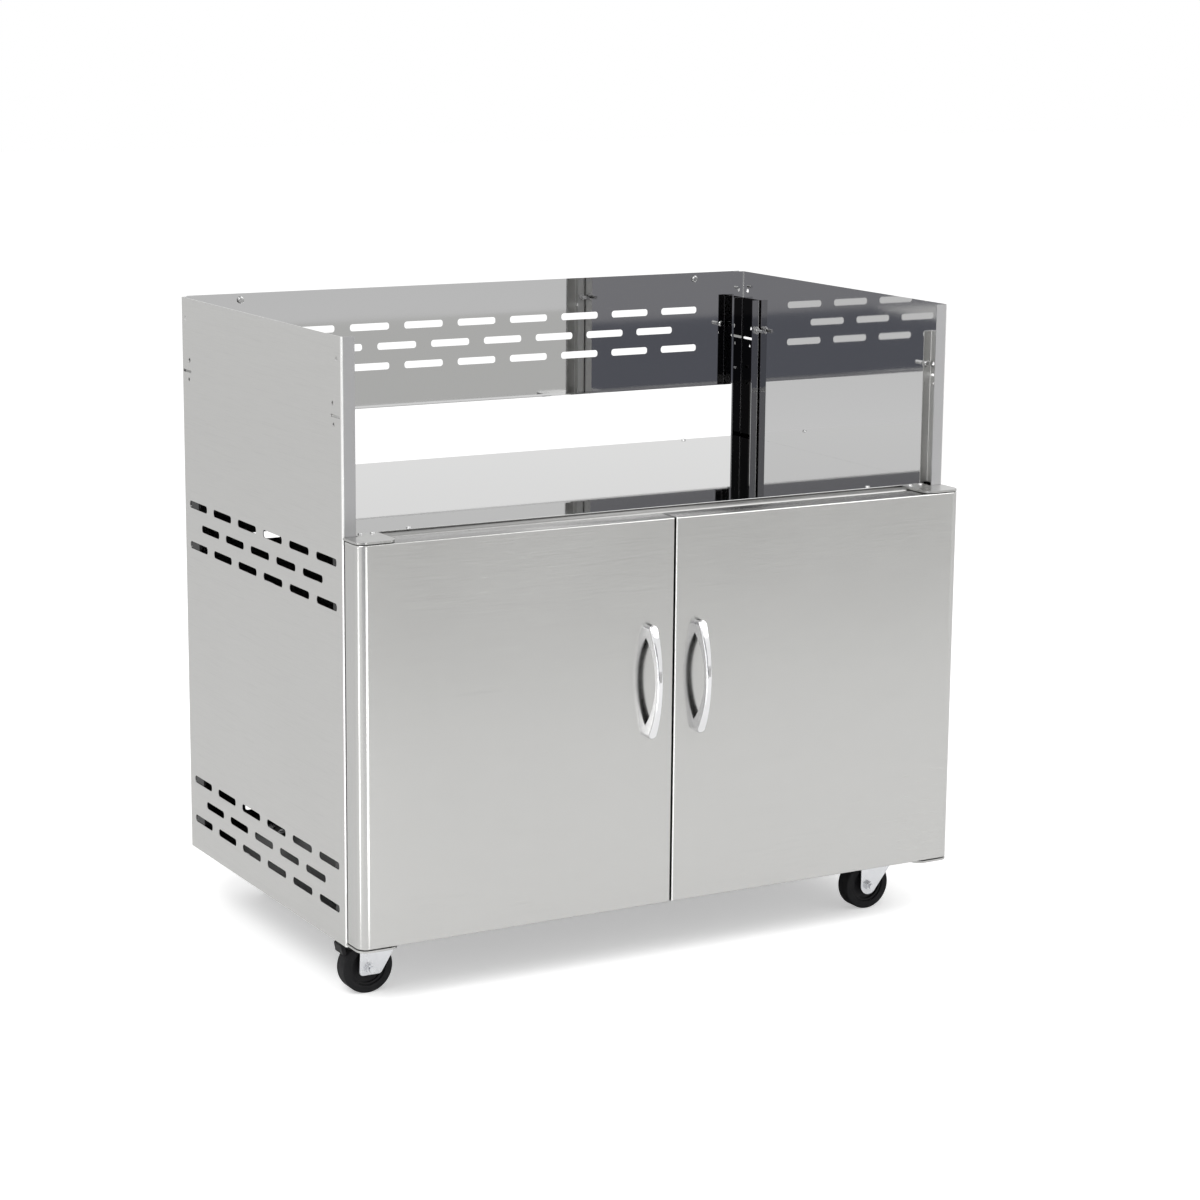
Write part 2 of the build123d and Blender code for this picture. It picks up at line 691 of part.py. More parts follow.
    with BuildPart() as bushes:
        for edge_z, out in ((door_top, 1), (door_bottom, -1)):
            with BuildSketch(Plane.XY.offset(edge_z)):
                with Locations((side * pivot_x, pivot_y)):
                    Circle(bush_r)
                    Circle(pin_r + running, mode=Mode.SUBTRACT)
            extrude(amount=-out * bush_length)
            with BuildSketch(Plane.XY.offset(edge_z)):
                with Locations((side * pivot_x, pivot_y)):
                    Circle(bush_flange_r)
                    Circle(pin_r + running, mode=Mode.SUBTRACT)
            extrude(amount=out * (hinge_gap - bush_play))
    save(bushes, f"{name}_door_bushes")

    with BuildPart() as strike:
        with BuildSketch(Plane.XZ.offset(-liner_back)):
            with Locations((side * catch_x, catch_top - catch_height / 2)):
                RectangleRounded(strike_length, strike_height, catch_corner)
        extrude(amount=-strike_thick)
    save(strike, f"{name}_strike_plate")


for name, side in sides.items():
    door(name, side)


def fork_leg(x, axle_x, axle_z, braked):
    """Sketch one fork leg, seen from the side, on the open sketch."""
    with Locations((x - leg_top + leg_shoulder_r, crown_top - leg_shoulder_r)):
        Circle(leg_shoulder_r)
    with Locations((x + leg_front - leg_front_r, crown_top - leg_front_r)):
        Circle(leg_front_r)
    with Locations((axle_x - leg_r + leg_shoulder_r, 2 * axle_z - leg_shoulder_r)):
        Circle(leg_shoulder_r)
    if braked:
        with Locations((axle_x - brake_leg_rear, axle_z - brake_leg_drop),
                       (axle_x + brake_leg_front, axle_z - brake_leg_drop)):
            Circle(brake_leg_corner)
    else:
        with Locations((axle_x, axle_z)):
            Circle(leg_r)
    make_hull()


def caster(name, place, braked):
    """Build one caster at a kingpin place: top plate, fork, axle, wheel and brake."""
    x, y = place
    axle_x = x - trail
    axle_z = wheel_r
    side_plane = Plane((0, y, 0), x_dir=(1, 0, 0), z_dir=(0, -1, 0))

    with BuildPart() as mount:
        with BuildSketch(Plane.XY.offset(base_under)):
            with Locations((x, y)):
                RectangleRounded(mount_length, mount_width, mount_corner)
                with GridLocations(mount_hole_x, mount_hole_y, 2, 2):
                    Circle(bolt_r + hole_play, mode=Mode.SUBTRACT)
        extrude(amount=-mount_thick)
        with BuildSketch(Plane.XY.offset(mount_under)):
            with Locations((x, y)):
                Circle(race_r)
        extrude(amount=-race_height)
        round_bar((x, y, race_under), (0, 0, -1), kingpin_r, race_gap + fork_sheet + race_gap)
        round_bar((x, y, crown_under - race_gap), (0, 0, -1), kingpin_head_r, kingpin_head)
    save(mount, f"{name}_caster_plate")

    with BuildPart() as fork:
        with BuildSketch(side_plane):
            fork_leg(x, axle_x, axle_z, braked)
        extrude(amount=leg_outer, both=True)
        if braked:
            with BuildSketch(side_plane):
                with Locations((x + pedal_x, pedal_z), (x - leg_top + ear_r, pedal_z)):
                    Circle(ear_r)
                make_hull()
            extrude(amount=leg_outer, both=True)
        with BuildSketch(side_plane):
            with Locations((x, 0)):
                Rectangle(fork_clear, crown_under, align=(Align.CENTER, Align.MIN))
        extrude(amount=leg_inner, both=True, mode=Mode.SUBTRACT)
        with BuildSketch(Plane.XY.offset(crown_top)):
            with Locations((x, y)):
                Circle(crown_r)
        extrude(amount=-fork_sheet)
        with BuildSketch(Plane.XY.offset(crown_top)):
            with Locations((x, y)):
                Circle(kingpin_r + running)
        extrude(amount=-fork_sheet, mode=Mode.SUBTRACT)
        with BuildSketch(side_plane):
            with Locations((axle_x, axle_z)):
                Circle(axle_r + hole_play)
            if braked:
                with Locations((x + pedal_x, pedal_z)):
                    Circle(pedal_pin_r + hole_play)
        extrude(amount=2 * leg_outer, both=True, mode=Mode.SUBTRACT)
    save(fork, f"{name}_fork")

    with BuildPart() as axle:
        with BuildSketch(Plane((axle_x, y + leg_outer, axle_z), z_dir=(0, 1, 0))):
            RegularPolygon(hexagon(axle_flats), 6)
        extrude(amount=axle_head)
        round_bar((axle_x, y + leg_outer, axle_z), (0, -1, 0), axle_r, 2 * leg_outer + axle_nut + axle_tail)
        hex_nut((axle_x, y - leg_outer, axle_z), (0, -1, 0), axle_r + hole_play, axle_flats, axle_nut)
        with BuildSketch(Plane((axle_x, y - leg_inner, axle_z), z_dir=(0, 1, 0))):
            Circle(sleeve_r)
            Circle(axle_r + hole_play, mode=Mode.SUBTRACT)
        extrude(amount=2 * leg_inner)
    save(axle, f"{name}_axle")

    # Wheel core: a turned section with a boss, a recessed web and a rim
    core_half = leg_inner - core_end_play
    rim_half = wheel_width / 2 - core_rim / 2
    bore = sleeve_r + running
    with BuildPart() as core:
        with BuildSketch(Plane((axle_x, y, axle_z), x_dir=(1, 0, 0), z_dir=(0, 0, 1))):
            with BuildLine():
                Polyline(
                    (bore, -core_half),
                    (core_boss_r - core_rim / 2, -core_half),
                    (core_boss_r, core_recess - rim_half),
                    (core_r - core_rim, core_recess - rim_half),
                    (core_r - core_rim, -rim_half),
                    (core_r - running, -rim_half),
                    (core_r - running, rim_half),
                    (core_r - core_rim, rim_half),
                    (core_r - core_rim, rim_half - core_recess),
                    (core_boss_r, rim_half - core_recess),
                    (core_boss_r - core_rim / 2, core_half),
                    (bore, core_half),
                    close=True,
                )
            make_face()
        revolve(axis=Axis((axle_x, y, axle_z), (0, 1, 0)))
    save(core, f"{name}_wheel_core")

    with BuildPart() as tyre:
        with BuildSketch(Plane((axle_x, y, axle_z), x_dir=(1, 0, 0), z_dir=(0, 0, 1))):
            with Locations(((core_r + wheel_r) / 2, 0)):
                Rectangle(wheel_r - core_r, wheel_width)
        revolve(axis=Axis((axle_x, y, axle_z), (0, 1, 0)))
        treads = tyre.edges().filter_by(GeomType.CIRCLE).sort_by(SortBy.RADIUS)[-2:]
        fillet(treads, tyre_edge)
    save(tyre, f"{name}_tyre")

    if braked:
        pivot = (x + pedal_x, pedal_z)
        tip = (pivot[0] - pedal_reach, pivot[1] - pedal_fall)
        lobe = (tip[0] + lobe_back, tip[1] - lobe_drop)
        shoe_path = wheel_r + shoe_gap + shoe_r
        shoe = (axle_x + shoe_path * cos(radians(shoe_angle)), axle_z + shoe_path * sin(radians(shoe_angle)))
        with BuildPart() as pedal:
            for near, near_r, far, far_r in (
                (pivot, pedal_hub_r, tip, pedal_tip_r),
                (tip, pedal_tip_r, lobe, lobe_r),
                (pivot, pedal_hub_r, shoe, shoe_r),
            ):
                with BuildSketch(side_plane):
                    with Locations(near):
                        Circle(near_r)
                    with Locations(far):
                        Circle(far_r)
                    make_hull()
                extrude(amount=pedal_width / 2, both=True)
            with BuildSketch(side_plane):
                with Locations(pivot):
                    Circle(pedal_pin_r + running)
            extrude(amount=pedal_width, both=True, mode=Mode.SUBTRACT)
        save(pedal, f"{name}_brake_pedal")

        with BuildPart() as pedal_pin:
            start_y = y - leg_outer
            round_bar((pivot[0], start_y, pivot[1]), (0, 1, 0), pedal_pin_r, 2 * leg_outer)
            round_bar((pivot[0], start_y, pivot[1]), (0, -1, 0), pin_head_r, pin_head)
            round_bar((pivot[0], y + leg_outer, pivot[1]), (0, 1, 0), pin_head_r, pin_head)
        save(pedal_pin, f"{name}_brake_pin")


for (end_name, side_name), place in kingpins.items():
    caster(f"{end_name}_{side_name}", place, braked=side_name == "left")

# Bolts through the caster plates and the base, with their nuts inside the cabinet
with BuildPart() as caster_bolts:
    for x, y in mount_holes:
        pan_screw((x, y, mount_under), (0, 0, 1), bolt_r, bolt_head_r, bolt_head,
                  mount_thick + sheet + nut_height + bolt_tail)
        hex_nut((x, y, base_top), (0, 0, 1), bolt_r + hole_play, nut_flats, nut_height)
save(caster_bolts, "caster_bolts")
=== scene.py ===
"""Grill cart of brushed and polished stainless steel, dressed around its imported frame."""
import logging
import math
from dataclasses import dataclass
from enum import Enum
from typing import Iterable, Optional

import bmesh
import bpy
from mathutils import Matrix, Vector


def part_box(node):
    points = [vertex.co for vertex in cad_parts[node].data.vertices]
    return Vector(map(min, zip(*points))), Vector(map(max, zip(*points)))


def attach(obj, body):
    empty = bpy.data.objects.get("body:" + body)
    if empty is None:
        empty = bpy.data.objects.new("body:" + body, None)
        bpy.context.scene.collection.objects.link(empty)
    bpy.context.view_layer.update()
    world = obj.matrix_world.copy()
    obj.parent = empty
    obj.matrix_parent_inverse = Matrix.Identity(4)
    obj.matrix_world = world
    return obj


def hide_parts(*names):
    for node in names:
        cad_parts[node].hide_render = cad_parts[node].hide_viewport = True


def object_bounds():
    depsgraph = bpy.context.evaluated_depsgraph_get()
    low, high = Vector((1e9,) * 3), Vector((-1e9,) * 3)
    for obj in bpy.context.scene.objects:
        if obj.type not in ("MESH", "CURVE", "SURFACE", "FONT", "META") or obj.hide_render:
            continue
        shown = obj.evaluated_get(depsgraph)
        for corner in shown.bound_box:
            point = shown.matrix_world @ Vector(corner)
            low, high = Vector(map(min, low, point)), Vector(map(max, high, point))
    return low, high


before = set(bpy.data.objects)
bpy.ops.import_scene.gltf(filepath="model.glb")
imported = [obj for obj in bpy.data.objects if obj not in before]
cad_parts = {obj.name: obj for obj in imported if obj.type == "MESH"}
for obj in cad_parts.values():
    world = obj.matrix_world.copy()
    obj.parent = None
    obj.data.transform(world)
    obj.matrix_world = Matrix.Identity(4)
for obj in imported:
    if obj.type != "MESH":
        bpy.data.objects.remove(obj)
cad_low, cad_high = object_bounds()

LOG = logging.getLogger("grill_cart")
MM = 0.001
MERGE_DISTANCE = 1e-6
SHARP_ANGLE = math.radians(30.0)
ROUND_PROFILE = 0.5
UPRIGHT = 0.99
PLACE_DIGITS = 4
SIZE_DIGITS = 5
FAR_AWAY = 10.0

Colour = tuple[float, float, float]
Point = tuple[float, float, float]
WHITE: Colour = (1.0, 1.0, 1.0)

# Scale and detail of each noise in the brushed grain, and how they are mixed
FINE_STREAKS = (38.0, 3.0)
COARSE_STREAKS = (9.0, 2.0)
DEEP_STROKES = (15.0, 0.0)
COARSE_SHARE = 0.35
STROKE_RANGE = (0.66, 0.76)

# Range of the clouds on a handled surface, and the detail of clouds and specks
CLOUD_RANGE = (0.3, 0.7)
CLOUD_DETAIL = 4.0
SPECK_DETAIL = 1.0


class GrainAxis(Enum):
    """Direction that a sheet's brush marks run in."""

    ACROSS = (1.0, 60.0, 60.0)
    ALONG = (60.0, 1.0, 60.0)


class HeadSide(Enum):
    """Side of the cart that a fastener's head points to."""

    BACK = (0.0, 1.0, 0.0)
    FRONT = (0.0, -1.0, 0.0)
    UP = (0.0, 0.0, 1.0)
    DOWN = (0.0, 0.0, -1.0)


class Graph:
    """A short-hand writer for one node tree."""

    def __init__(self, tree: bpy.types.NodeTree) -> None:
        """Keep the tree that the nodes go into."""
        self.tree = tree

    def node(self, kind: str, **settings: object) -> bpy.types.Node:
        """Add a node.

        Args:
            kind: Blender's name of the node type.
            settings: Properties to set on it.

        Returns:
            The new node.
        """
        made = self.tree.nodes.new(kind)
        for key, value in settings.items():
            setattr(made, key, value)
        return made

    def join(self, source: bpy.types.NodeSocket, target: bpy.types.NodeSocket) -> None:
        """Link an output to an input."""
        self.tree.links.new(source, target)

    def feed(self, value: object, target: bpy.types.NodeSocket) -> None:
        """Link a socket, or set a plain value, on an input."""
        if isinstance(value, bpy.types.NodeSocket):
            self.join(value, target)
        else:
            target.default_value = value

    def math(self, operation: str, *values: object, clamp: bool = False) -> bpy.types.NodeSocket:
        """Add a math node.

        Args:
            operation: The math node's operation.
            values: Sockets or numbers for its inputs, in order.
            clamp: Keep the result from 0 to 1.

        Returns:
            The result's socket.
        """
        made = self.node("ShaderNodeMath", operation=operation, use_clamp=clamp)
        for value, target in zip(values, made.inputs):
            self.feed(value, target)
        return made.outputs[0]

    def blend(self, share: object, low: object, high: object) -> bpy.types.NodeSocket:
        """Mix two numbers.

        Args:
            share: 0 gives the low number and 1 the high one.
            low: Socket or number.
            high: Socket or number.

        Returns:
            The mixed number's socket.
        """
        made = self.node("ShaderNodeMix", data_type="FLOAT")
        for value, target in zip((share, low, high), (made.inputs[0], made.inputs[2], made.inputs[3])):
            self.feed(value, target)
        return made.outputs[0]

    def tint(self, share: object, low: Colour, high: Colour) -> bpy.types.NodeSocket:
        """Mix two colours.

        Args:
            share: 0 gives the low colour and 1 the high one.
            low: Colour at 0.
            high: Colour at 1.

        Returns:
            The mixed colour's socket.
        """
        made = self.node("ShaderNodeMix", data_type="RGBA")
        self.feed(share, made.inputs[0])
        made.inputs[6].default_value = (*low, 1.0)
        made.inputs[7].default_value = (*high, 1.0)
        return made.outputs[2]

    def spread(self, value: object, low: float, high: float) -> bpy.types.NodeSocket:
        """Stretch a number's range from low..high to 0..1, with soft ends.

        Args:
            value: Socket or number.
            low: Value that becomes 0.
            high: Value that becomes 1.

        Returns:
            The stretched number's socket.
        """
        made = self.node("ShaderNodeMapRange", interpolation_type="SMOOTHSTEP")
        for item, target in zip((value, low, high), made.inputs):
            self.feed(item, target)
        return made.outputs[0]


def new_group(name: str, inputs: dict[str, float],
              outputs: Iterable[str]) -> tuple[Graph, dict, bpy.types.Node]:
    """Start a shader node group of numbers that reads Object coordinates inside.

    Args:
        name: Name of the group.
        inputs: Input names with their default numbers.
        outputs: Output names.

    Returns:
        The group's graph, its input sockets by name, and its output node.
    """
    tree = bpy.data.node_groups.new(name, "ShaderNodeTree")
    for label, value in inputs.items():
        tree.interface.new_socket(label, in_out="INPUT", socket_type="NodeSocketFloat").default_value = value
    for label in outputs:
        tree.interface.new_socket(label, in_out="OUTPUT", socket_type="NodeSocketFloat")
    graph = Graph(tree)
    entry = graph.node("NodeGroupInput")
    leave = graph.node("NodeGroupOutput")
    return graph, {s.name: s for s in entry.outputs if s.name}, leave


def grain_group() -> bpy.types.NodeTree:
    """Make the brushed grain: long thin streaks, fine ones over coarse ones.

    Returns:
        The group, with a grain value round 0.5 and a mark value for the few deep strokes.
    """
    graph, given, leave = new_group(
        "brush_grain", {"Stretch X": 1.0, "Stretch Y": 1.0, "Stretch Z": 1.0}, ("Grain", "Strokes"))
    place = graph.node("ShaderNodeTexCoord").outputs["Object"]
    stretch = graph.node("ShaderNodeCombineXYZ")
    for axis in "XYZ":
        graph.join(given[f"Stretch {axis}"], stretch.inputs[axis])
    scaled = graph.node("ShaderNodeVectorMath", operation="MULTIPLY")
    graph.join(place, scaled.inputs[0])
    graph.join(stretch.outputs[0], scaled.inputs[1])
    values = []
    for scale, detail in (FINE_STREAKS, COARSE_STREAKS, DEEP_STROKES):
        noise = graph.node("ShaderNodeTexNoise")
        graph.join(scaled.outputs[0], noise.inputs["Vector"])
        noise.inputs["Scale"].default_value = scale
        noise.inputs["Detail"].default_value = detail
        values.append(noise.outputs[0])
    fine, coarse, strokes = values
    graph.join(graph.blend(COARSE_SHARE, fine, coarse), leave.inputs["Grain"])
    graph.join(graph.spread(strokes, *STROKE_RANGE), leave.inputs["Strokes"])
    return graph.tree


def handling_group() -> bpy.types.NodeTree:
    """Make the faint clouding of a handled surface.

    Returns:
        The group, with a cloud value from 0 to 1 and a fine speck value.
    """
    graph, given, leave = new_group("handling_marks", {"Size": 5.0, "Specks": 900.0}, ("Clouds", "Specks"))
    place = graph.node("ShaderNodeTexCoord").outputs["Object"]
    values = []
    for size, detail in (("Size", CLOUD_DETAIL), ("Specks", SPECK_DETAIL)):
        noise = graph.node("ShaderNodeTexNoise")
        graph.join(place, noise.inputs["Vector"])
        graph.join(given[size], noise.inputs["Scale"])
        noise.inputs["Detail"].default_value = detail
        values.append(noise.outputs[0])
    clouds, specks = values
    graph.join(graph.spread(clouds, *CLOUD_RANGE), leave.inputs["Clouds"])
    graph.join(specks, leave.inputs["Specks"])
    return graph.tree


GROUPS: dict[str, bpy.types.NodeTree] = {}


def shared_group(name: str) -> bpy.types.NodeTree:
    """Give a shared node group, made at its first use.

    Args:
        name: The group's name.

    Returns:
        The group.
    """
    makers = {"brush_grain": grain_group, "handling_marks": handling_group}
    if name not in GROUPS:
        GROUPS[name] = makers[name]()
    return GROUPS[name]


@dataclass(frozen=True)
class Finish:
    """What every finish has: a name, a colour and its clouding, with clouds and specks to the metre."""

    name: str
    colour: Colour
    roughness: float
    clouding: float = 0.04
    cloud_count: float = 5.0
    speck_count: float = 900.0

    def start(self) -> tuple[bpy.types.Material, Graph, bpy.types.Node]:
        """Make an empty node material.

        Returns:
            The material, its graph and its shader.
        """
        material = bpy.data.materials.new(self.name)
        material.use_nodes = True
        material.diffuse_color = (*self.colour, 1.0)
        graph = Graph(material.node_tree)
        shader = material.node_tree.nodes["Principled BSDF"]
        return material, graph, shader

    def clouds(self, graph: Graph) -> bpy.types.Node:
        """Add the handling marks to a material.

        Args:
            graph: The material's graph.

        Returns:
            The group's node.
        """
        marks = graph.node("ShaderNodeGroup", node_tree=shared_group("handling_marks"))
        marks.inputs["Size"].default_value = self.cloud_count
        marks.inputs["Specks"].default_value = self.speck_count
        return marks

    def shade(self, factor: float) -> Colour:
        """Give the finish's colour, lightened or darkened by a factor."""
        return tuple(c * factor for c in self.colour)

    def emboss(self, graph: Graph, shader: bpy.types.Node, height: object, strength: float,
               depth: float) -> None:
        """Add a bump to the shader.

        Args:
            graph: The material's graph.
            shader: The material's shader.
            height: Socket of the height.
            strength: Share of the bump that shows.
            depth: Height of the bump, in metres.
        """
        bump = graph.node("ShaderNodeBump")
        bump.inputs["Strength"].default_value = strength
        bump.inputs["Distance"].default_value = depth
        graph.feed(height, bump.inputs["Height"])
        graph.join(bump.outputs[0], shader.inputs["Normal"])


@dataclass(frozen=True)
class PaintedLightPatch:
    """A stretch of a sheet painted lighter or darker for light and shade, such as a painted highlight on a bend
    or painted shade on a flange, from its bounds in metres.
    """

    colour: Colour
    near: float = 0.0
    far: float = FAR_AWAY
    before: float = FAR_AWAY
    above: float = -FAR_AWAY
    mirrored: bool = True

    def mask(self, graph: Graph) -> bpy.types.NodeSocket:
        """Make the mask of the patch.

        Args:
            graph: The material's graph.

        Returns:
            1 between near and far in X, before a Y and above a Z, as a socket.
        """
        parts = graph.node("ShaderNodeSeparateXYZ")
        graph.join(graph.node("ShaderNodeTexCoord").outputs["Object"], parts.inputs[0])
        reach = graph.math("ABSOLUTE", parts.outputs["X"]) if self.mirrored else parts.outputs["X"]
        across = graph.math("MULTIPLY", graph.math("GREATER_THAN", reach, self.near),
                            graph.math("LESS_THAN", reach, self.far))
        within = graph.math("MULTIPLY", graph.math("LESS_THAN", parts.outputs["Y"], self.before),
                            graph.math("GREATER_THAN", parts.outputs["Z"], self.above))
        return graph.math("MULTIPLY", across, within)

    def lay(self, graph: Graph, tone: bpy.types.NodeSocket) -> bpy.types.NodeSocket:
        """Lay the patch's painted highlight or painted shade over a tone and give the new tone's socket."""
        over = graph.node("ShaderNodeMix", data_type="RGBA")
        graph.join(self.mask(graph), over.inputs[0])
        graph.join(tone, over.inputs[6])
        over.inputs[7].default_value = (*self.colour, 1.0)
        return over.outputs[2]


@dataclass(frozen=True)
class SheetFinish(Finish):
    """Stainless sheet with a brushed face and a polished one.

    The brushed face is where the sheet's own mask is 1, such as the outside of the side panels.
    """

    cloud_count: float = 3.0
    polished_colour: Colour = (0.72, 0.72, 0.72)
    polished_roughness: float = 0.018
    polished_clouding: float = 0.25
    grain: GrainAxis = GrainAxis.ACROSS
    anisotropy: float = 0.75
    grain_turn: float = 0.25
    grain_tone: float = 0.16
    grain_roughness: float = 0.12
    grain_bump: float = 0.05
    grain_depth: float = 0.1 * MM
    stroke_tone: float = 0.03
    brushed: bool = True
    brushed_beyond: Optional[tuple[str, float]] = None
    brushed_front: Optional[float] = None
    # Painted highlights and painted shade, laid over the sheet's tone.
    painted_light_patches: tuple[PaintedLightPatch, ...] = ()

    def mask(self, graph: Graph) -> object:
        """Make the mask of the brushed face.

        Args:
            graph: The material's graph.

        Returns:
            1 where the sheet is brushed, as a socket or a plain number.
        """
        if self.brushed_beyond is None:
            return float(self.brushed)
        axis, limit = self.brushed_beyond
        parts = graph.node("ShaderNodeSeparateXYZ")
        graph.join(graph.node("ShaderNodeTexCoord").outputs["Object"], parts.inputs[0])
        reach = graph.math("ABSOLUTE", parts.outputs["X"]) if axis == "X" else parts.outputs[axis]
        outer = graph.math("GREATER_THAN", reach, limit)
        if self.brushed_front is None:
            return outer
        return graph.math("MAXIMUM", outer, graph.math("LESS_THAN", parts.outputs["Y"], self.brushed_front))

    def build(self) -> bpy.types.Material:
        """Make the material."""
        material, graph, shader = self.start()
        grain = graph.node("ShaderNodeGroup", node_tree=shared_group("brush_grain"))
        for axis, value in zip("XYZ", self.grain.value):
            grain.inputs[f"Stretch {axis}"].default_value = value
        marks = self.clouds(graph)
        mask = self.mask(graph)
        streak = graph.math("MULTIPLY_ADD", grain.outputs["Grain"], self.grain_tone,
                            1.0 - self.grain_tone / 2)
        stroke = graph.math("MULTIPLY", grain.outputs["Strokes"], self.stroke_tone)
        brushed_tone = graph.math("SUBTRACT", streak, stroke)
        tone = graph.node("ShaderNodeVectorMath", operation="SCALE")
        graph.join(graph.tint(mask, self.polished_colour, self.colour), tone.inputs[0])
        graph.join(graph.blend(mask, 1.0, brushed_tone), tone.inputs["Scale"])
        patched = tone.outputs[0]
        # Lay the painted highlights and painted shade over the tone.
        for patch in self.painted_light_patches:
            patched = patch.lay(graph, patched)
        graph.join(patched, shader.inputs["Base Color"])
        brushed_roughness = graph.math("MULTIPLY_ADD", grain.outputs["Grain"], self.grain_roughness,
                                       self.roughness - self.grain_roughness / 2)
        base = graph.blend(mask, self.polished_roughness, brushed_roughness)
        clouding = graph.blend(mask, self.clouding * self.polished_clouding, self.clouding)
        cloud = graph.math("MULTIPLY", marks.outputs["Clouds"], clouding)
        graph.join(graph.math("ADD", base, cloud, clamp=True), shader.inputs["Roughness"])
        shader.inputs["Metallic"].default_value = 1.0
        shader.inputs["Anisotropic"].default_value = self.anisotropy
        shader.inputs["Anisotropic Rotation"].default_value = self.grain_turn
        tangent = graph.node("ShaderNodeTangent", direction_type="RADIAL", axis="Z")
        graph.join(tangent.outputs[0], shader.inputs["Tangent"])
        height = graph.math("MULTIPLY", grain.outputs["Grain"], mask)
        self.emboss(graph, shader, height, self.grain_bump, self.grain_depth)
        return material


@dataclass(frozen=True)
class BrightFinish(Finish):
    """Plated or polished metal with faint clouds and cells."""

    cloud_count: float = 22.0
    speck_count: float = 1500.0
    cells: float = 0.0
    cell_share: float = 0.5
    dull_shade: float = 0.92
    # Share by which the painted shade darkens the colour under the hollow mask.
    hollow_painted_shade: float = 0.95
    skin: float = 0.04
    skin_depth: float = 0.05 * MM

    def hollow(self, graph: Graph) -> object:
        """Give the mask of the finish's painted hollow shade: none."""
        return 0.0

    def build(self) -> bpy.types.Material:
        """Make the material."""
        material, graph, shader = self.start()
        marks = self.clouds(graph)
        roughness = graph.math("MULTIPLY_ADD", marks.outputs["Clouds"], self.clouding, self.roughness)
        shader.inputs["Metallic"].default_value = 1.0
        graph.join(roughness, shader.inputs["Roughness"])
        tone = marks.outputs["Clouds"]
        if self.cells:
            plates = graph.node("ShaderNodeTexVoronoi")
            graph.join(graph.node("ShaderNodeTexCoord").outputs["Object"], plates.inputs["Vector"])
            plates.inputs["Scale"].default_value = self.cells
            split = graph.node("ShaderNodeSeparateColor")
            graph.join(plates.outputs["Color"], split.inputs[0])
            tone = graph.blend(self.cell_share, marks.outputs["Clouds"], split.outputs[0])
        dimmed = graph.node("ShaderNodeVectorMath", operation="SCALE")
        graph.join(graph.tint(tone, self.shade(self.dull_shade), self.colour), dimmed.inputs[0])
        # Darken the colour where the hollow mask lies: painted shade.
        light = graph.math("MULTIPLY_ADD", self.hollow(graph), -self.hollow_painted_shade, 1.0)
        graph.join(light, dimmed.inputs["Scale"])
        graph.join(dimmed.outputs[0], shader.inputs["Base Color"])
        if self.skin:
            self.emboss(graph, shader, marks.outputs["Specks"], self.skin, self.skin_depth)
        return material


@dataclass(frozen=True)
class BowChrome(BrightFinish):
    """Chrome of the bow handles, with painted shade on their hollow backs and on what faces the door."""

    offset: float = 40.5 * MM
    back_facing: float = 0.5
    hollow_half: float = 3.2 * MM
    bow_middle: tuple[float, float] = (0.0, 0.0)
    hollow_radius: float = 0.0

    def hollow(self, graph: Graph) -> object:
        """Make the mask of the painted shade on the back: the hollow behind the front wall, and what faces the
        door.

        Args:
            graph: The material's graph.

        Returns:
            1 on the back, where the shade is painted, as a socket.
        """
        parts = graph.node("ShaderNodeSeparateXYZ")
        graph.join(graph.node("ShaderNodeTexCoord").outputs["Object"], parts.inputs[0])
        aside = graph.math("SUBTRACT", graph.math("ABSOLUTE", parts.outputs["X"]), self.offset)
        near = graph.math("LESS_THAN", graph.math("ABSOLUTE", aside), self.hollow_half)
        arms = [graph.math("SUBTRACT", parts.outputs[axis], at) for axis, at in zip("YZ", self.bow_middle)]
        squares = [graph.math("MULTIPLY", arm, arm) for arm in arms]
        reach = graph.math("SQRT", graph.math("ADD", *squares))
        hollow = graph.math("MULTIPLY", near, graph.math("LESS_THAN", reach, self.hollow_radius))
        facing = graph.node("ShaderNodeSeparateXYZ")
        graph.join(graph.node("ShaderNodeTexCoord").outputs["Normal"], facing.inputs[0])
        turned_back = graph.math("GREATER_THAN", facing.outputs["Y"], self.back_facing)
        return graph.math("MAXIMUM", hollow, turned_back)


@dataclass(frozen=True)
class MouldedFinish(Finish):
    """Moulded plastic or rubber with a fine eroded skin."""

    cloud_count: float = 60.0
    speck_count: float = 2200.0
    skin: float = 0.08
    skin_depth: float = 0.1 * MM
    dusting: float = 0.5
    gloss: float = 0.22

    def build(self) -> bpy.types.Material:
        """Make the material."""
        material, graph, shader = self.start()
        marks = self.clouds(graph)
        shader.inputs["Specular IOR Level"].default_value = self.gloss
        dust = graph.math("MULTIPLY", marks.outputs["Clouds"], marks.outputs["Specks"])
        dusty = self.shade(1.0 + self.dusting)
        graph.join(graph.tint(dust, self.colour, dusty), shader.inputs["Base Color"])
        roughness = graph.math("MULTIPLY_ADD", marks.outputs["Clouds"], self.clouding, self.roughness)
        graph.join(roughness, shader.inputs["Roughness"])
        self.emboss(graph, shader, marks.outputs["Specks"], self.skin, self.skin_depth)
        return material


def sharp_edges(bm: bmesh.types.BMesh, angle: float = SHARP_ANGLE) -> list[bmesh.types.BMEdge]:
    """List the edges of a mesh that bend by more than an angle."""
    return [e for e in bm.edges if len(e.link_faces) == 2 and e.calc_face_angle(0.0) > angle]


def soften(bm: bmesh.types.BMesh, edges: list[bmesh.types.BMEdge], offset: float, segments: int) -> None:
    """Round edges of a mesh.

    Args:
        bm: The mesh.
        edges: The edges to round.
        offset: Width of the rounding, in metres.
        segments: Faces across it.
    """
    bmesh.ops.bevel(bm, geom=edges, offset=offset, offset_type="OFFSET", segments=segments,
                    profile=ROUND_PROFILE, affect="EDGES", material=-1, clamp_overlap=True)


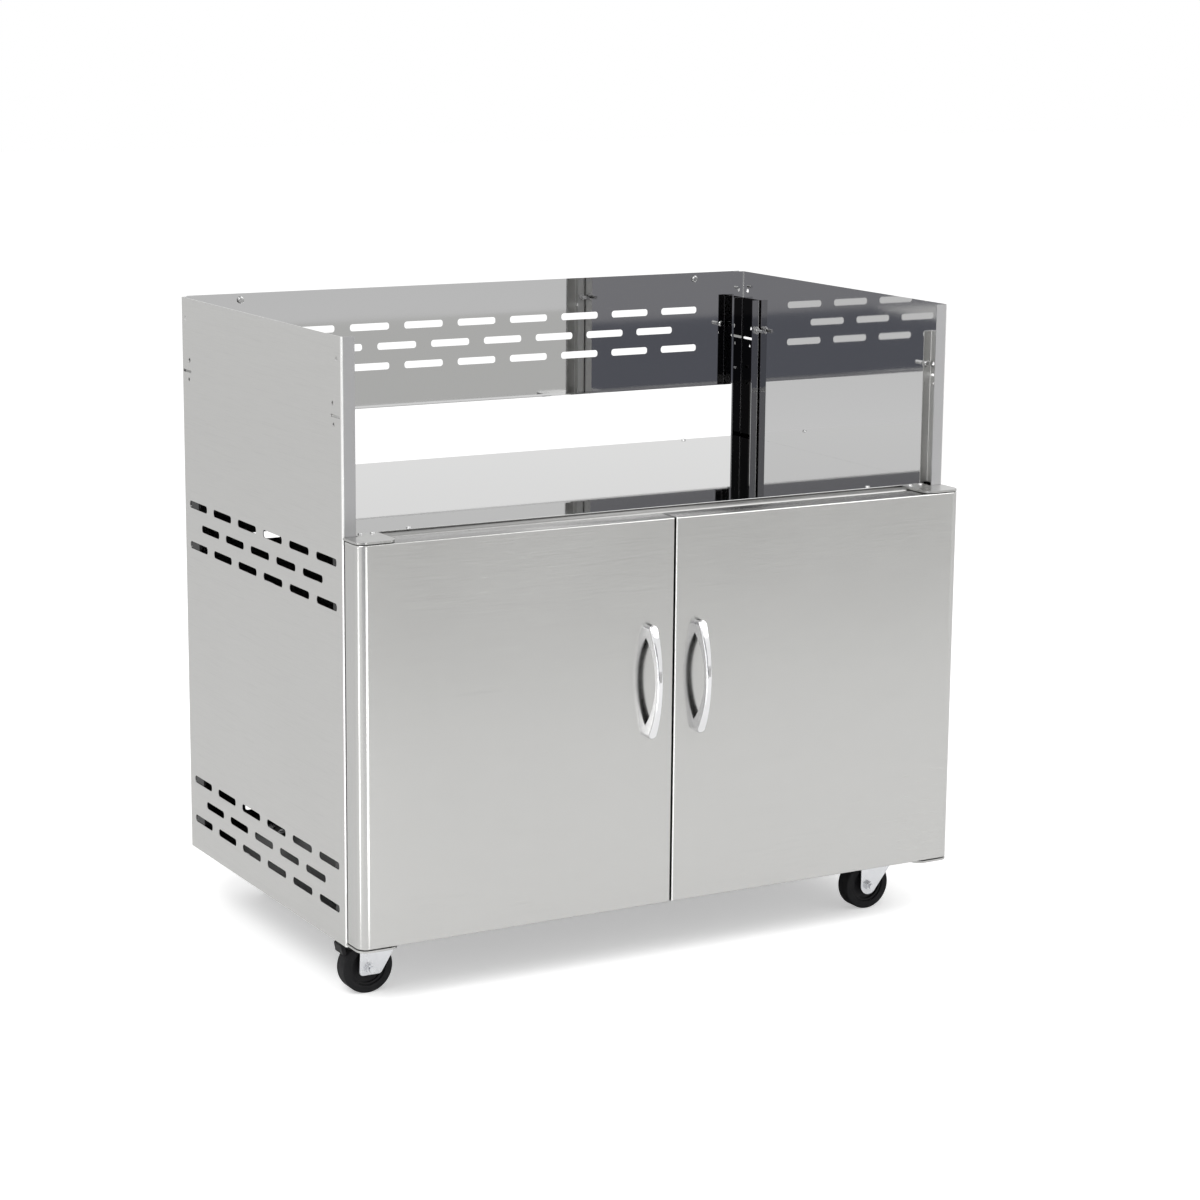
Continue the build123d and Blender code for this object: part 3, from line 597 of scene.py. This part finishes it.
def place_piece(name: str, bm: bmesh.types.BMesh, finish: bpy.types.Material, body: str,
                nodes: Iterable[str] = ()) -> None:
    """Turn a finished mesh into a piece that rides on a body.

    Args:
        name: Name of the piece.
        bm: Its mesh, in the cart's frame; it is freed.
        finish: Its material.
        body: The CAD body that it moves with.
        nodes: CAD nodes that it stands for.
    """
    mesh = bpy.data.meshes.new(name)
    bm.to_mesh(mesh)
    bm.free()
    mesh.materials.append(finish)
    mesh.shade_smooth()
    mesh.set_sharp_from_angle(angle=SHARP_ANGLE)
    made = bpy.data.objects.new(name, mesh)
    bpy.context.scene.collection.objects.link(made)
    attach(made, body)
    nodes = tuple(nodes)
    if nodes:
        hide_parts(*nodes)
    LOG.info("%s rides on %s with %d faces", name, body, len(mesh.polygons))


def stamp(target: bmesh.types.BMesh, shape: bpy.types.Mesh, place: Matrix) -> None:
    """Add a copy of a shape to a mesh.

    Args:
        target: The mesh that grows.
        shape: The shape, round its own origin.
        place: Where the copy goes.
    """
    before = len(target.verts)
    target.from_mesh(shape)
    target.verts.ensure_lookup_table()
    bmesh.ops.transform(target, matrix=place, verts=target.verts[before:])


def solid_boxes(node: str) -> list[tuple[Vector, Vector]]:
    """Find the boxes of a CAD node's separate solids, from a merged copy of its mesh.

    Args:
        node: The CAD node.

    Returns:
        The lowest and highest corner of each solid.
    """
    bm = bmesh.new()
    bm.from_mesh(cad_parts[node].data)
    bmesh.ops.remove_doubles(bm, verts=bm.verts, dist=MERGE_DISTANCE)
    waiting = set(bm.verts)
    boxes = []
    while waiting:
        reach = [waiting.pop()]
        low = reach[0].co.copy()
        high = reach[0].co.copy()
        while reach:
            vert = reach.pop()
            low = Vector(map(min, low, vert.co))
            high = Vector(map(max, high, vert.co))
            for edge in vert.link_edges:
                other = edge.other_vert(vert)
                if other in waiting:
                    waiting.remove(other)
                    reach.append(other)
        boxes.append((low, high))
    bm.free()
    return sorted(boxes, key=lambda b: tuple(round(v, PLACE_DIGITS) for v in b[0]))


@dataclass
class PanScrew:
    """A pan-head screw with a cross recess, its seat at the origin and its head upwards."""

    head_radius: float
    head_height: float
    shank_radius: float
    shank_length: float
    segments: int = 28
    crown: float = 0.84
    top_share: float = 0.9
    rim_round: float = 0.35
    rim_faces: int = 3
    recess_width: float = 0.16
    recess_reach: float = 0.5
    recess_depth: float = 0.55

    def shape(self) -> bpy.types.Mesh:
        """Model the screw.

        Returns:
            Its mesh.
        """
        bm = bmesh.new()
        bmesh.ops.create_cone(
            bm, cap_ends=True, segments=self.segments, radius1=self.head_radius,
            radius2=self.head_radius * self.crown, depth=self.head_height,
            matrix=Matrix.Translation((0.0, 0.0, self.head_height / 2)))
        rim = [e for e in bm.edges if min(v.co.z for v in e.verts) > self.head_height * self.top_share]
        soften(bm, rim, self.head_height * self.rim_round, self.rim_faces)
        self.cut_recess(bm)
        bmesh.ops.create_cone(
            bm, cap_ends=True, segments=self.segments, radius1=self.shank_radius, radius2=self.shank_radius,
            depth=self.shank_length, matrix=Matrix.Translation((0.0, 0.0, -self.shank_length / 2)))
        mesh = bpy.data.meshes.new("pan_screw")
        bm.to_mesh(mesh)
        bm.free()
        return mesh

    def top_faces(self, bm: bmesh.types.BMesh) -> list[bmesh.types.BMFace]:
        """List the flat faces on the top of the head."""
        top = self.head_height * self.top_share
        return [f for f in bm.faces if f.normal.z > UPRIGHT and f.calc_center_median().z > top]

    def cut_recess(self, bm: bmesh.types.BMesh) -> None:
        """Cut the top face along the cross and sink the cross into the head."""
        half = self.head_radius * self.recess_width
        reach = self.head_radius * self.recess_reach
        for normal in (Vector((1.0, 0.0, 0.0)), Vector((0.0, 1.0, 0.0))):
            for offset in (-reach, -half, half, reach):
                top = self.top_faces(bm)
                edges = {e for f in top for e in f.edges}
                verts = {v for f in top for v in f.verts}
                bmesh.ops.bisect_plane(bm, geom=[*top, *edges, *verts], dist=MERGE_DISTANCE,
                                       plane_co=normal * offset, plane_no=normal)
        cross = []
        for face in self.top_faces(bm):
            middle = face.calc_center_median()
            near, far = sorted((abs(middle.x), abs(middle.y)))
            if near < half and far < reach:
                cross.append(face)
        grown = bmesh.ops.extrude_face_region(bm, geom=cross)["geom"]
        sunk = [g for g in grown if isinstance(g, bmesh.types.BMVert)]
        bmesh.ops.translate(bm, verts=sunk, vec=(0.0, 0.0, -self.head_height * self.recess_depth))


@dataclass
class HexNut:
    """A hexagon nut round the origin's Z axis, standing on its seat."""

    flats: float
    height: float
    bore: float
    sides: int = 6
    chamfer: float = 0.08
    chamfer_faces: int = 2

    def shape(self) -> bpy.types.Mesh:
        """Model the nut.

        Returns:
            Its mesh.
        """
        bm = bmesh.new()
        corner = self.flats / 2 / math.cos(math.pi / self.sides)
        bmesh.ops.create_cone(
            bm, cap_ends=True, segments=self.sides, radius1=corner, radius2=corner, depth=self.height,
            matrix=Matrix.Translation((0.0, 0.0, self.height / 2)))
        caps = [f for f in bm.faces if abs(f.normal.z) > UPRIGHT]
        rims = list({e for f in caps for e in f.edges})
        soften(bm, rims, self.height * self.chamfer, self.chamfer_faces)
        caps = sorted(bm.faces, key=lambda f: abs(f.normal.z) * f.calc_area())[-2:]
        bmesh.ops.inset_individual(bm, faces=caps, thickness=self.flats / 2 - self.bore, use_even_offset=True)
        loops = [e for f in caps for e in f.edges]
        bmesh.ops.delete(bm, geom=caps, context="FACES_ONLY")
        bmesh.ops.bridge_loops(bm, edges=loops)
        bmesh.ops.recalc_face_normals(bm, faces=bm.faces)
        mesh = bpy.data.meshes.new("hex_nut")
        bm.to_mesh(mesh)
        bm.free()
        return mesh


@dataclass
class FastenerGroup:
    """A group of like fasteners that stands for one CAD node."""

    node: str
    head_height: float
    shank_radius: float
    body: str = "cabinet"
    nut_height: float = 5.0 * MM
    nut_margin: float = 1.2
    nut_bore: float = 3.15 * MM
    flange_reach: float = 20.0 * MM

    def head_side(self, middle: Vector) -> HeadSide:
        """Say where the head of a fastener at a place points to."""
        if self.node == "grill_bolts":
            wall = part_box("right_side_panel")
            return HeadSide.FRONT if middle.y < (wall[0].y + wall[1].y) / 2 else HeadSide.BACK
        if self.node == "back_panel_screws":
            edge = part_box("upper_back_panel")[1].x - self.flange_reach
            return HeadSide.BACK if abs(middle.x) > edge else HeadSide.FRONT
        if self.node == "hinge_plate_screws":
            return HeadSide.UP if middle.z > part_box("left_handle")[1].z else HeadSide.DOWN
        return HeadSide.DOWN if self.node == "caster_bolts" else HeadSide.UP

    def build(self, finish: bpy.types.Material) -> None:
        """Model the group where its CAD solids are.

        Args:
            finish: The fasteners' material.
        """
        bm = bmesh.new()
        shapes: dict[tuple, bpy.types.Mesh] = {}
        for low, high in solid_boxes(self.node):
            middle = (low + high) / 2
            size = high - low
            side = self.head_side(middle)
            up = Vector(side.value)
            along = abs(size.dot(up))
            across = min(v for v in (size - Vector(map(abs, up)) * along) if v > MM)
            turn = up.to_track_quat("Z", "Y").to_matrix().to_4x4()
            nut = along < self.nut_height * self.nut_margin
            key = (nut, round(along, SIZE_DIGITS), round(across, SIZE_DIGITS))
            if key not in shapes:
                shapes[key] = self.one(nut, along, across)
            seat = middle - up * along / 2 if nut else middle + up * (along / 2 - self.head_height)
            stamp(bm, shapes[key], Matrix.Translation(seat) @ turn)
        place_piece(f"{self.node}_detailed", bm, finish, self.body, (self.node,))

    def one(self, nut: bool, along: float, across: float) -> bpy.types.Mesh:
        """Model one fastener of the group from its CAD size."""
        if nut:
            return HexNut(across, along, self.nut_bore).shape()
        return PanScrew(across / 2, self.head_height, self.shank_radius, along - self.head_height).shape()


@dataclass
class BowHandles:
    """The two bow handles, which keep their CAD shapes and get their chrome."""

    length: float = 166.0 * MM
    bow_height: float = 22.0 * MM
    front_wall: float = 3.0 * MM
    wall_margin: float = 0.1 * MM
    plating: Colour = (0.82, 0.82, 0.83)

    def dress(self) -> None:
        """Give the handles a chrome with painted shade in the hollow of their backs."""
        low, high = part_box("right_handle")
        bow_radius = ((self.length / 2) ** 2 + self.bow_height ** 2) / (2 * self.bow_height)
        chrome = BowChrome("handle_chrome", self.plating, roughness=0.04, clouding=0.03, skin=0.0,
                           bow_middle=(low.y + bow_radius, (low.z + high.z) / 2),
                           hollow_radius=bow_radius - self.front_wall + self.wall_margin)
        dress_nodes(("left_handle", "right_handle"), chrome.build())


def turned(profile: Iterable[tuple[float, float]], centre: Vector, steps: int) -> bmesh.types.BMesh:
    """Spin a closed profile about the Y axis through a point.

    Args:
        profile: Radius and place along Y of each corner, in order.
        centre: Middle of the turned piece.
        steps: Faces round it.

    Returns:
        The closed mesh.
    """
    bm = bmesh.new()
    corners = [bm.verts.new(centre + Vector((r, along, 0.0))) for r, along in profile]
    for first, second in zip(corners, corners[1:] + corners[:1]):
        bm.edges.new((first, second))
    bmesh.ops.spin(bm, geom=[*bm.verts, *bm.edges], cent=centre, axis=(0.0, 1.0, 0.0), angle=math.tau,
                   steps=steps, use_merge=True)
    bmesh.ops.remove_doubles(bm, verts=bm.verts, dist=MERGE_DISTANCE)
    bmesh.ops.recalc_face_normals(bm, faces=bm.faces)
    return bm


@dataclass
class CasterWheel:
    """A caster's wheel: a moulded core with a recessed web, and a rubber tyre."""

    corner: str
    core_radius: float = 27.0 * MM
    boss_radius: float = 12.0 * MM
    bore: float = 6.05 * MM
    rim: float = 4.0 * MM
    web: float = 12.0 * MM
    tread_round: float = 2.5 * MM
    tread_faces: int = 8
    tyre_edge: float = 0.4 * MM
    core_edge: float = 0.5 * MM
    edge_faces: int = 2
    core_gap: float = 0.05 * MM
    steps: int = 96

    def build(self, core_finish: bpy.types.Material, tyre_finish: bpy.types.Material) -> None:
        """Model the tyre and the core.

        Args:
            core_finish: The core's material.
            tyre_finish: The tyre's material.
        """
        low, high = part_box(f"{self.corner}_tyre")
        centre = (low + high) / 2
        outer = (high.z - low.z) / 2
        half = (high.y - low.y) / 2
        body = f"{self.corner}_wheel"
        section = ((self.core_radius, -half), (outer, -half), (outer, half), (self.core_radius, half))
        tyre = turned(section, centre, self.steps)
        shoulder = [e for e in sharp_edges(tyre) if self.away(e, centre) > outer - MM]
        soften(tyre, shoulder, self.tread_round, self.tread_faces)
        inner = [e for e in sharp_edges(tyre) if self.away(e, centre) < self.core_radius + MM]
        soften(tyre, inner, self.tyre_edge, self.edge_faces)
        place_piece(f"{self.corner}_tyre_turned", tyre, tyre_finish, body,
                    (f"{self.corner}_tyre",))
        core_half = (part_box(f"{self.corner}_wheel_core")[1].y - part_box(f"{self.corner}_wheel_core")[0].y) / 2
        rim_half = half - self.rim / 2
        web_half = self.web / 2
        near = ((self.bore, -core_half), (self.boss_radius - self.rim / 2, -core_half),
                (self.boss_radius, -web_half), (self.core_radius - self.rim, -web_half),
                (self.core_radius - self.rim, -rim_half), (self.core_radius - self.core_gap, -rim_half))
        far = tuple((r, -along) for r, along in reversed(near))
        core = turned((*near, *far), centre, self.steps)
        soften(core, sharp_edges(core), self.core_edge, self.edge_faces)
        place_piece(f"{self.corner}_core_turned", core, core_finish, body,
                    (f"{self.corner}_wheel_core",))

    def away(self, edge: bmesh.types.BMEdge, centre: Vector) -> float:
        """Measure an edge's distance from the axle."""
        arm = edge.verts[0].co - centre
        return math.hypot(arm.x, arm.z)


@dataclass
class SheetCabinet:
    """The cabinet's sheets, which keep their CAD shapes and get their finishes."""

    sheet: float = 1.2 * MM
    side_bend: float = 2.7 * MM
    door_bend: float = 2.0 * MM
    steel: Colour = (0.60, 0.598, 0.586)
    door_steel: Colour = (0.555, 0.553, 0.542)
    post_steel: Colour = (0.54, 0.539, 0.53)
    # Dark tone of the front rail and of the doors' top flanges: painted shade.
    painted_shade_steel: Colour = (0.32, 0.319, 0.312)
    # Darker tone of the side panels' front flanges: painted shade.
    flange_painted_shade: Colour = (0.42, 0.419, 0.425)
    # Near-white tone of the bends: painted highlight.
    bend_painted_highlight: Colour = (0.96, 0.96, 0.95)
    deck_polish: Colour = (0.5, 0.5, 0.495)
    corner_polish: Colour = (0.5, 0.5, 0.5)
    # Dark tone of the polished inside of the cabinet: painted shade.
    inner_painted_shade: Colour = (0.2, 0.2, 0.2)
    # Near-black tone of the post faces behind the side walls, seen through the vents: painted shade.
    hidden_face_painted_shade: Colour = (0.01, 0.01, 0.01)
    sheet_roughness: float = 0.36
    door_roughness: float = 0.22
    post_roughness: float = 0.34
    rail_roughness: float = 0.3
    lower_back_roughness: float = 0.2
    inner_roughness: float = 0.35
    front_post_sheets: float = 1.5
    rear_post_sheets: float = 3.0

    def dress(self) -> None:
        """Give each sheet its brushed or polished faces, with painted highlights on the bends and painted shade
        on the flanges, the rail, the inside and the post faces behind the walls.
        """
        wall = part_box("right_side_panel")
        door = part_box("right_door_shell")
        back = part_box("upper_back_panel")[1].y
        deck_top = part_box("deck_panel")[1].z
        # Painted shade, near black, on the post faces behind the side walls.
        front_post_painted_shade = PaintedLightPatch(self.hidden_face_painted_shade, near=wall[1].x - self.sheet * self.front_post_sheets)
        rear_post_painted_shade = PaintedLightPatch(self.hidden_face_painted_shade, near=wall[1].x - self.sheet * self.rear_post_sheets)
        # Painted shade on the side panels' front flanges.
        side_flange_painted_shade = PaintedLightPatch(self.flange_painted_shade, far=wall[1].x - self.side_bend,
                                 before=wall[0].y + self.sheet)
        # Painted highlight on the side panels' front bends.
        side_bend = PaintedLightPatch(self.bend_painted_highlight, near=wall[1].x - self.side_bend,
                               before=wall[0].y + self.side_bend)
        # Painted shade on the doors' top flanges.
        door_top_painted_shade = PaintedLightPatch(self.painted_shade_steel, above=door[1].z - self.sheet / 2)
        # Painted highlight on the doors' front bend.
        door_bend = PaintedLightPatch(self.bend_painted_highlight, far=door[0].x + self.door_bend,
                               before=door[0].y + self.door_bend, mirrored=False)
        finishes = (
            (SheetFinish("side_sheet", self.steel, self.sheet_roughness, grain=GrainAxis.ALONG,
                         brushed_beyond=("X", wall[1].x - self.sheet / 2),
                         brushed_front=wall[0].y + self.sheet / 2, painted_light_patches=(side_flange_painted_shade, side_bend)),
             ("left_side_panel", "right_side_panel")),
            (SheetFinish("back_sheet", self.steel, self.sheet_roughness,
                         brushed_beyond=("Y", back - self.sheet / 2)),
             ("upper_back_panel",)),
            # The lower back panel's inside is polished in the dark tone of painted shade.
            (SheetFinish("lower_back_sheet", self.steel, self.sheet_roughness,
                         polished_colour=self.inner_painted_shade, polished_roughness=self.lower_back_roughness,
                         brushed_beyond=("Y", back - self.sheet / 2)),
             ("lower_back_panel",)),
            (SheetFinish("door_sheet", self.door_steel, self.door_roughness, painted_light_patches=(door_top_painted_shade, door_bend)),
             ("left_door_shell", "right_door_shell")),
            # Below the deck the front posts are polished in the dark tone of painted shade.
            (SheetFinish("post_sheet", self.post_steel, self.post_roughness,
                         polished_colour=self.inner_painted_shade, brushed_beyond=("Z", deck_top),
                         painted_light_patches=(front_post_painted_shade,)),
             ("front_left_post", "front_right_post")),
            # The front rail is painted dark: painted shade.
            (SheetFinish("rail_sheet_painted_shade", self.painted_shade_steel, self.rail_roughness), ("front_top_rail",)),
            (SheetFinish("deck_sheet", self.steel, self.sheet_roughness, polished_colour=self.deck_polish,
                         anisotropy=0.0, brushed=False),
             ("deck_panel",)),
            # The base and the door liners are polished in the dark tone of painted shade.
            (SheetFinish("inner_sheet_painted_shade", self.steel, self.sheet_roughness, polished_colour=self.inner_painted_shade,
                         polished_roughness=self.inner_roughness, anisotropy=0.0, brushed=False),
             ("base_panel", "left_door_liner", "right_door_liner")),
            # The rear posts' faces along the walls are near black: painted shade.
            (SheetFinish("corner_sheet", self.steel, self.sheet_roughness,
                         polished_colour=self.corner_polish, anisotropy=0.0, brushed=False,
                         painted_light_patches=(rear_post_painted_shade,)),
             ("rear_left_post", "rear_right_post")),
        )
        for finish, nodes in finishes:
            dress_nodes(nodes, finish.build())


def dress_nodes(nodes: Iterable[str], finish: bpy.types.Material) -> None:
    """Put a material on CAD nodes.

    Args:
        nodes: The CAD nodes' names.
        finish: The material.
    """
    for node in nodes:
        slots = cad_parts[node].data.materials
        slots.clear()
        slots.append(finish)
        LOG.info("%s is finished in %s", node, finish.name)


@dataclass(frozen=True)
class StudioCard:
    """A flat card that only reflections see."""

    name: str
    centre: Point
    size: tuple[float, float]
    turn: Point = (0.0, 0.0, 0.0)
    shade: Colour = WHITE
    strength: float = 1.0

    def build(self) -> None:
        """Put the card in the studio, from a square of one metre."""
        bm = bmesh.new()
        bmesh.ops.create_grid(bm, x_segments=1, y_segments=1, size=0.5)
        bmesh.ops.scale(bm, vec=(*self.size, 1.0), verts=bm.verts)
        mesh = bpy.data.meshes.new(self.name)
        bm.to_mesh(mesh)
        bm.free()
        material = bpy.data.materials.new(self.name)
        material.use_nodes = True
        shader = material.node_tree.nodes["Principled BSDF"]
        shader.inputs["Base Color"].default_value = (0.0, 0.0, 0.0, 1.0)
        shader.inputs["Specular IOR Level"].default_value = 0.0
        shader.inputs["Emission Color"].default_value = (*self.shade, 1.0)
        shader.inputs["Emission Strength"].default_value = self.strength
        mesh.materials.append(material)
        card = bpy.data.objects.new(self.name, mesh)
        card.location = self.centre
        card.rotation_euler = [math.radians(a) for a in self.turn]
        bpy.context.scene.collection.objects.link(card)
        for kind in ("camera", "diffuse", "transmission", "volume_scatter", "shadow"):
            setattr(card, f"visible_{kind}", False)


@dataclass
class Studio:
    """A white sweep with soft lamps and a few cards for the steel to reflect."""

    floor_size: float = 40.0
    floor_tone: float = 0.9
    floor_lift: float = 0.42
    sky_level: float = 0.72

    def build(self) -> None:
        """Make the floor, the sky, the lamps and the cards."""
        self.build_floor()
        self.build_sky()
        self.add_lamp("key_softbox", place=(-2.6, -2.2, 3.6), size=2.4, power=95.0)
        self.add_lamp("fill_softbox", place=(2.8, -2.4, 3.2), size=2.6, power=55.0)
        for card in (
            StudioCard("dark_floor_card", centre=(-2.3, -4.8, 0.003), size=(4.2, 3.8),
                       shade=(0.14, 0.145, 0.17)),
            StudioCard("grey_floor_card", centre=(2.6, -4.6, 0.002), size=(5.4, 4.6),
                       shade=(0.55, 0.55, 0.54)),
            StudioCard("dark_wall_card", centre=(-2.6, -6.4, 1.6), size=(5.0, 3.2),
                       turn=(90.0, 0.0, 0.0), shade=(0.3, 0.3, 0.32)),
            StudioCard("front_strip_card", centre=(-0.405, -0.774, 0.28), size=(0.085, 0.55),
                       turn=(90.0, 0.0, 0.0), strength=4.5),
            StudioCard("side_strip_card", centre=(-0.973, -0.41, 0.28), size=(0.085, 0.55),
                       turn=(90.0, 0.0, 90.0), strength=4.0),
        ):
            card.build()

    def build_floor(self) -> None:
        """Make the pale floor, white to the camera and grey in the cart's shadow."""
        bm = bmesh.new()
        bmesh.ops.create_grid(bm, x_segments=1, y_segments=1, size=self.floor_size / 2)
        mesh = bpy.data.meshes.new("studio_floor")
        bm.to_mesh(mesh)
        bm.free()
        material = bpy.data.materials.new("studio_floor")
        material.use_nodes = True
        graph = Graph(material.node_tree)
        shader = material.node_tree.nodes["Principled BSDF"]
        shader.inputs["Base Color"].default_value = (self.floor_tone,) * 3 + (1.0,)
        shader.inputs["Roughness"].default_value = 1.0
        shader.inputs["Specular IOR Level"].default_value = 0.0
        shader.inputs["Emission Color"].default_value = (1.0, 1.0, 1.0, 1.0)
        path = graph.node("ShaderNodeLightPath")
        lift = graph.math("MULTIPLY", path.outputs["Is Camera Ray"], self.floor_lift)
        graph.join(lift, shader.inputs["Emission Strength"])
        mesh.materials.append(material)
        floor = bpy.data.objects.new("studio_floor", mesh)
        bpy.context.scene.collection.objects.link(floor)

    def build_sky(self) -> None:
        """Make the sky: white to the camera and to reflections, softer as a light."""
        world = bpy.data.worlds.new("studio_sky")
        bpy.context.scene.world = world
        world.use_nodes = True
        graph = Graph(world.node_tree)
        back = world.node_tree.nodes["Background"]
        back.inputs["Color"].default_value = (1.0, 1.0, 1.0, 1.0)
        path = graph.node("ShaderNodeLightPath")
        seen = graph.math("MAXIMUM", path.outputs["Is Camera Ray"], path.outputs["Is Glossy Ray"])
        seen = graph.math("MAXIMUM", seen, path.outputs["Is Transmission Ray"])
        graph.join(graph.blend(seen, self.sky_level, 1.0), back.inputs["Strength"])

    def add_lamp(self, name: str, place: Point, size: float, power: float) -> None:
        """Hang a square softbox that points at the cart.

        Args:
            name: The lamp's name.
            place: Where it hangs, in metres.
            size: Length of its side, in metres.
            power: Its power, in watts.
        """
        data = bpy.data.lights.new(name, "AREA")
        data.size = size
        data.energy = power
        lamp = bpy.data.objects.new(name, data)
        lamp.location = place
        aim = (cad_low + cad_high) / 2 - Vector(place)
        lamp.rotation_mode = "QUATERNION"
        lamp.rotation_quaternion = aim.to_track_quat("-Z", "Y")
        bpy.context.scene.collection.objects.link(lamp)


@dataclass
class PhotoCamera:
    """The photograph's camera, from the fit to the cart's edges."""

    place: Point = (-2.1457, -3.8761, 1.3965)
    azimuth: float = -29.4763
    elevation: float = 11.635
    roll: float = 0.5054
    lens: float = 89.851
    sensor: float = 36.0
    clip_end: float = 200.0

    def build(self) -> None:
        """Put the camera in the scene."""
        around, up, tilt = (math.radians(a) for a in (self.azimuth, self.elevation, self.roll))
        back = Vector((math.sin(around) * math.cos(up), -math.cos(around) * math.cos(up), math.sin(up)))
        turn = (-back).to_track_quat("-Z", "Y").to_matrix().to_4x4() @ Matrix.Rotation(tilt, 4, "Z")
        data = bpy.data.cameras.new("photo_camera")
        data.lens = self.lens
        data.sensor_width = self.sensor
        data.clip_end = self.clip_end
        camera = bpy.data.objects.new("photo_camera", data)
        camera.matrix_world = Matrix.Translation(self.place) @ turn
        bpy.context.scene.collection.objects.link(camera)
        bpy.context.scene.camera = camera


def main() -> None:
    """Dress the cart, light it and set the camera."""
    logging.basicConfig(level=logging.INFO, format="%(name)s: %(message)s")
    bpy.context.scene.view_settings.view_transform = "Standard"
    zinc = BrightFinish("zinc_plate", (0.74, 0.75, 0.77), roughness=0.22, clouding=0.12, cells=140.0).build()
    hinge = BrightFinish("hinge_plate", (0.52, 0.52, 0.51), roughness=0.26, clouding=0.08).build()
    bright = BrightFinish("fastener_steel", (0.54, 0.54, 0.54), roughness=0.2, clouding=0.12).build()
    plastic = MouldedFinish("black_plastic", (0.007, 0.007, 0.008), roughness=0.42, clouding=0.15).build()
    rubber = MouldedFinish("tyre_rubber", (0.009, 0.009, 0.01), roughness=0.62, clouding=0.2, skin=0.12,
                           dusting=0.6).build()
    SheetCabinet().dress()
    dress_nodes(("upper_left_hinge_plate", "upper_right_hinge_plate", "lower_left_hinge_plate",
                 "lower_right_hinge_plate", "hinge_pins"), hinge)
    dress_nodes(("left_handle_screws", "right_handle_screws", "left_strike_plate",
                 "right_strike_plate"), bright)
    dress_nodes(("door_catches", "left_door_bushes", "right_door_bushes"), plastic)
    for group in (
        FastenerGroup("hinge_plate_screws", head_height=2.2 * MM, shank_radius=2.0 * MM),
        FastenerGroup("deck_screws", head_height=2.2 * MM, shank_radius=2.0 * MM),
        FastenerGroup("back_panel_screws", head_height=2.2 * MM, shank_radius=2.0 * MM),
        FastenerGroup("grill_bolts", head_height=3.3 * MM, shank_radius=3.0 * MM),
        FastenerGroup("caster_bolts", head_height=3.3 * MM, shank_radius=3.0 * MM),
    ):
        group.build(bright)
    BowHandles().dress()
    for corner in ("front_left", "front_right", "rear_left", "rear_right"):
        CasterWheel(corner).build(plastic, rubber)
        dress_nodes((f"{corner}_caster_plate", f"{corner}_fork", f"{corner}_axle"), zinc)
    for corner in ("front_left", "rear_left"):
        dress_nodes((f"{corner}_brake_pedal",), plastic)
        dress_nodes((f"{corner}_brake_pin",), zinc)
    Studio().build()
    PhotoCamera().build()


if __name__ == "__main__":
    main()
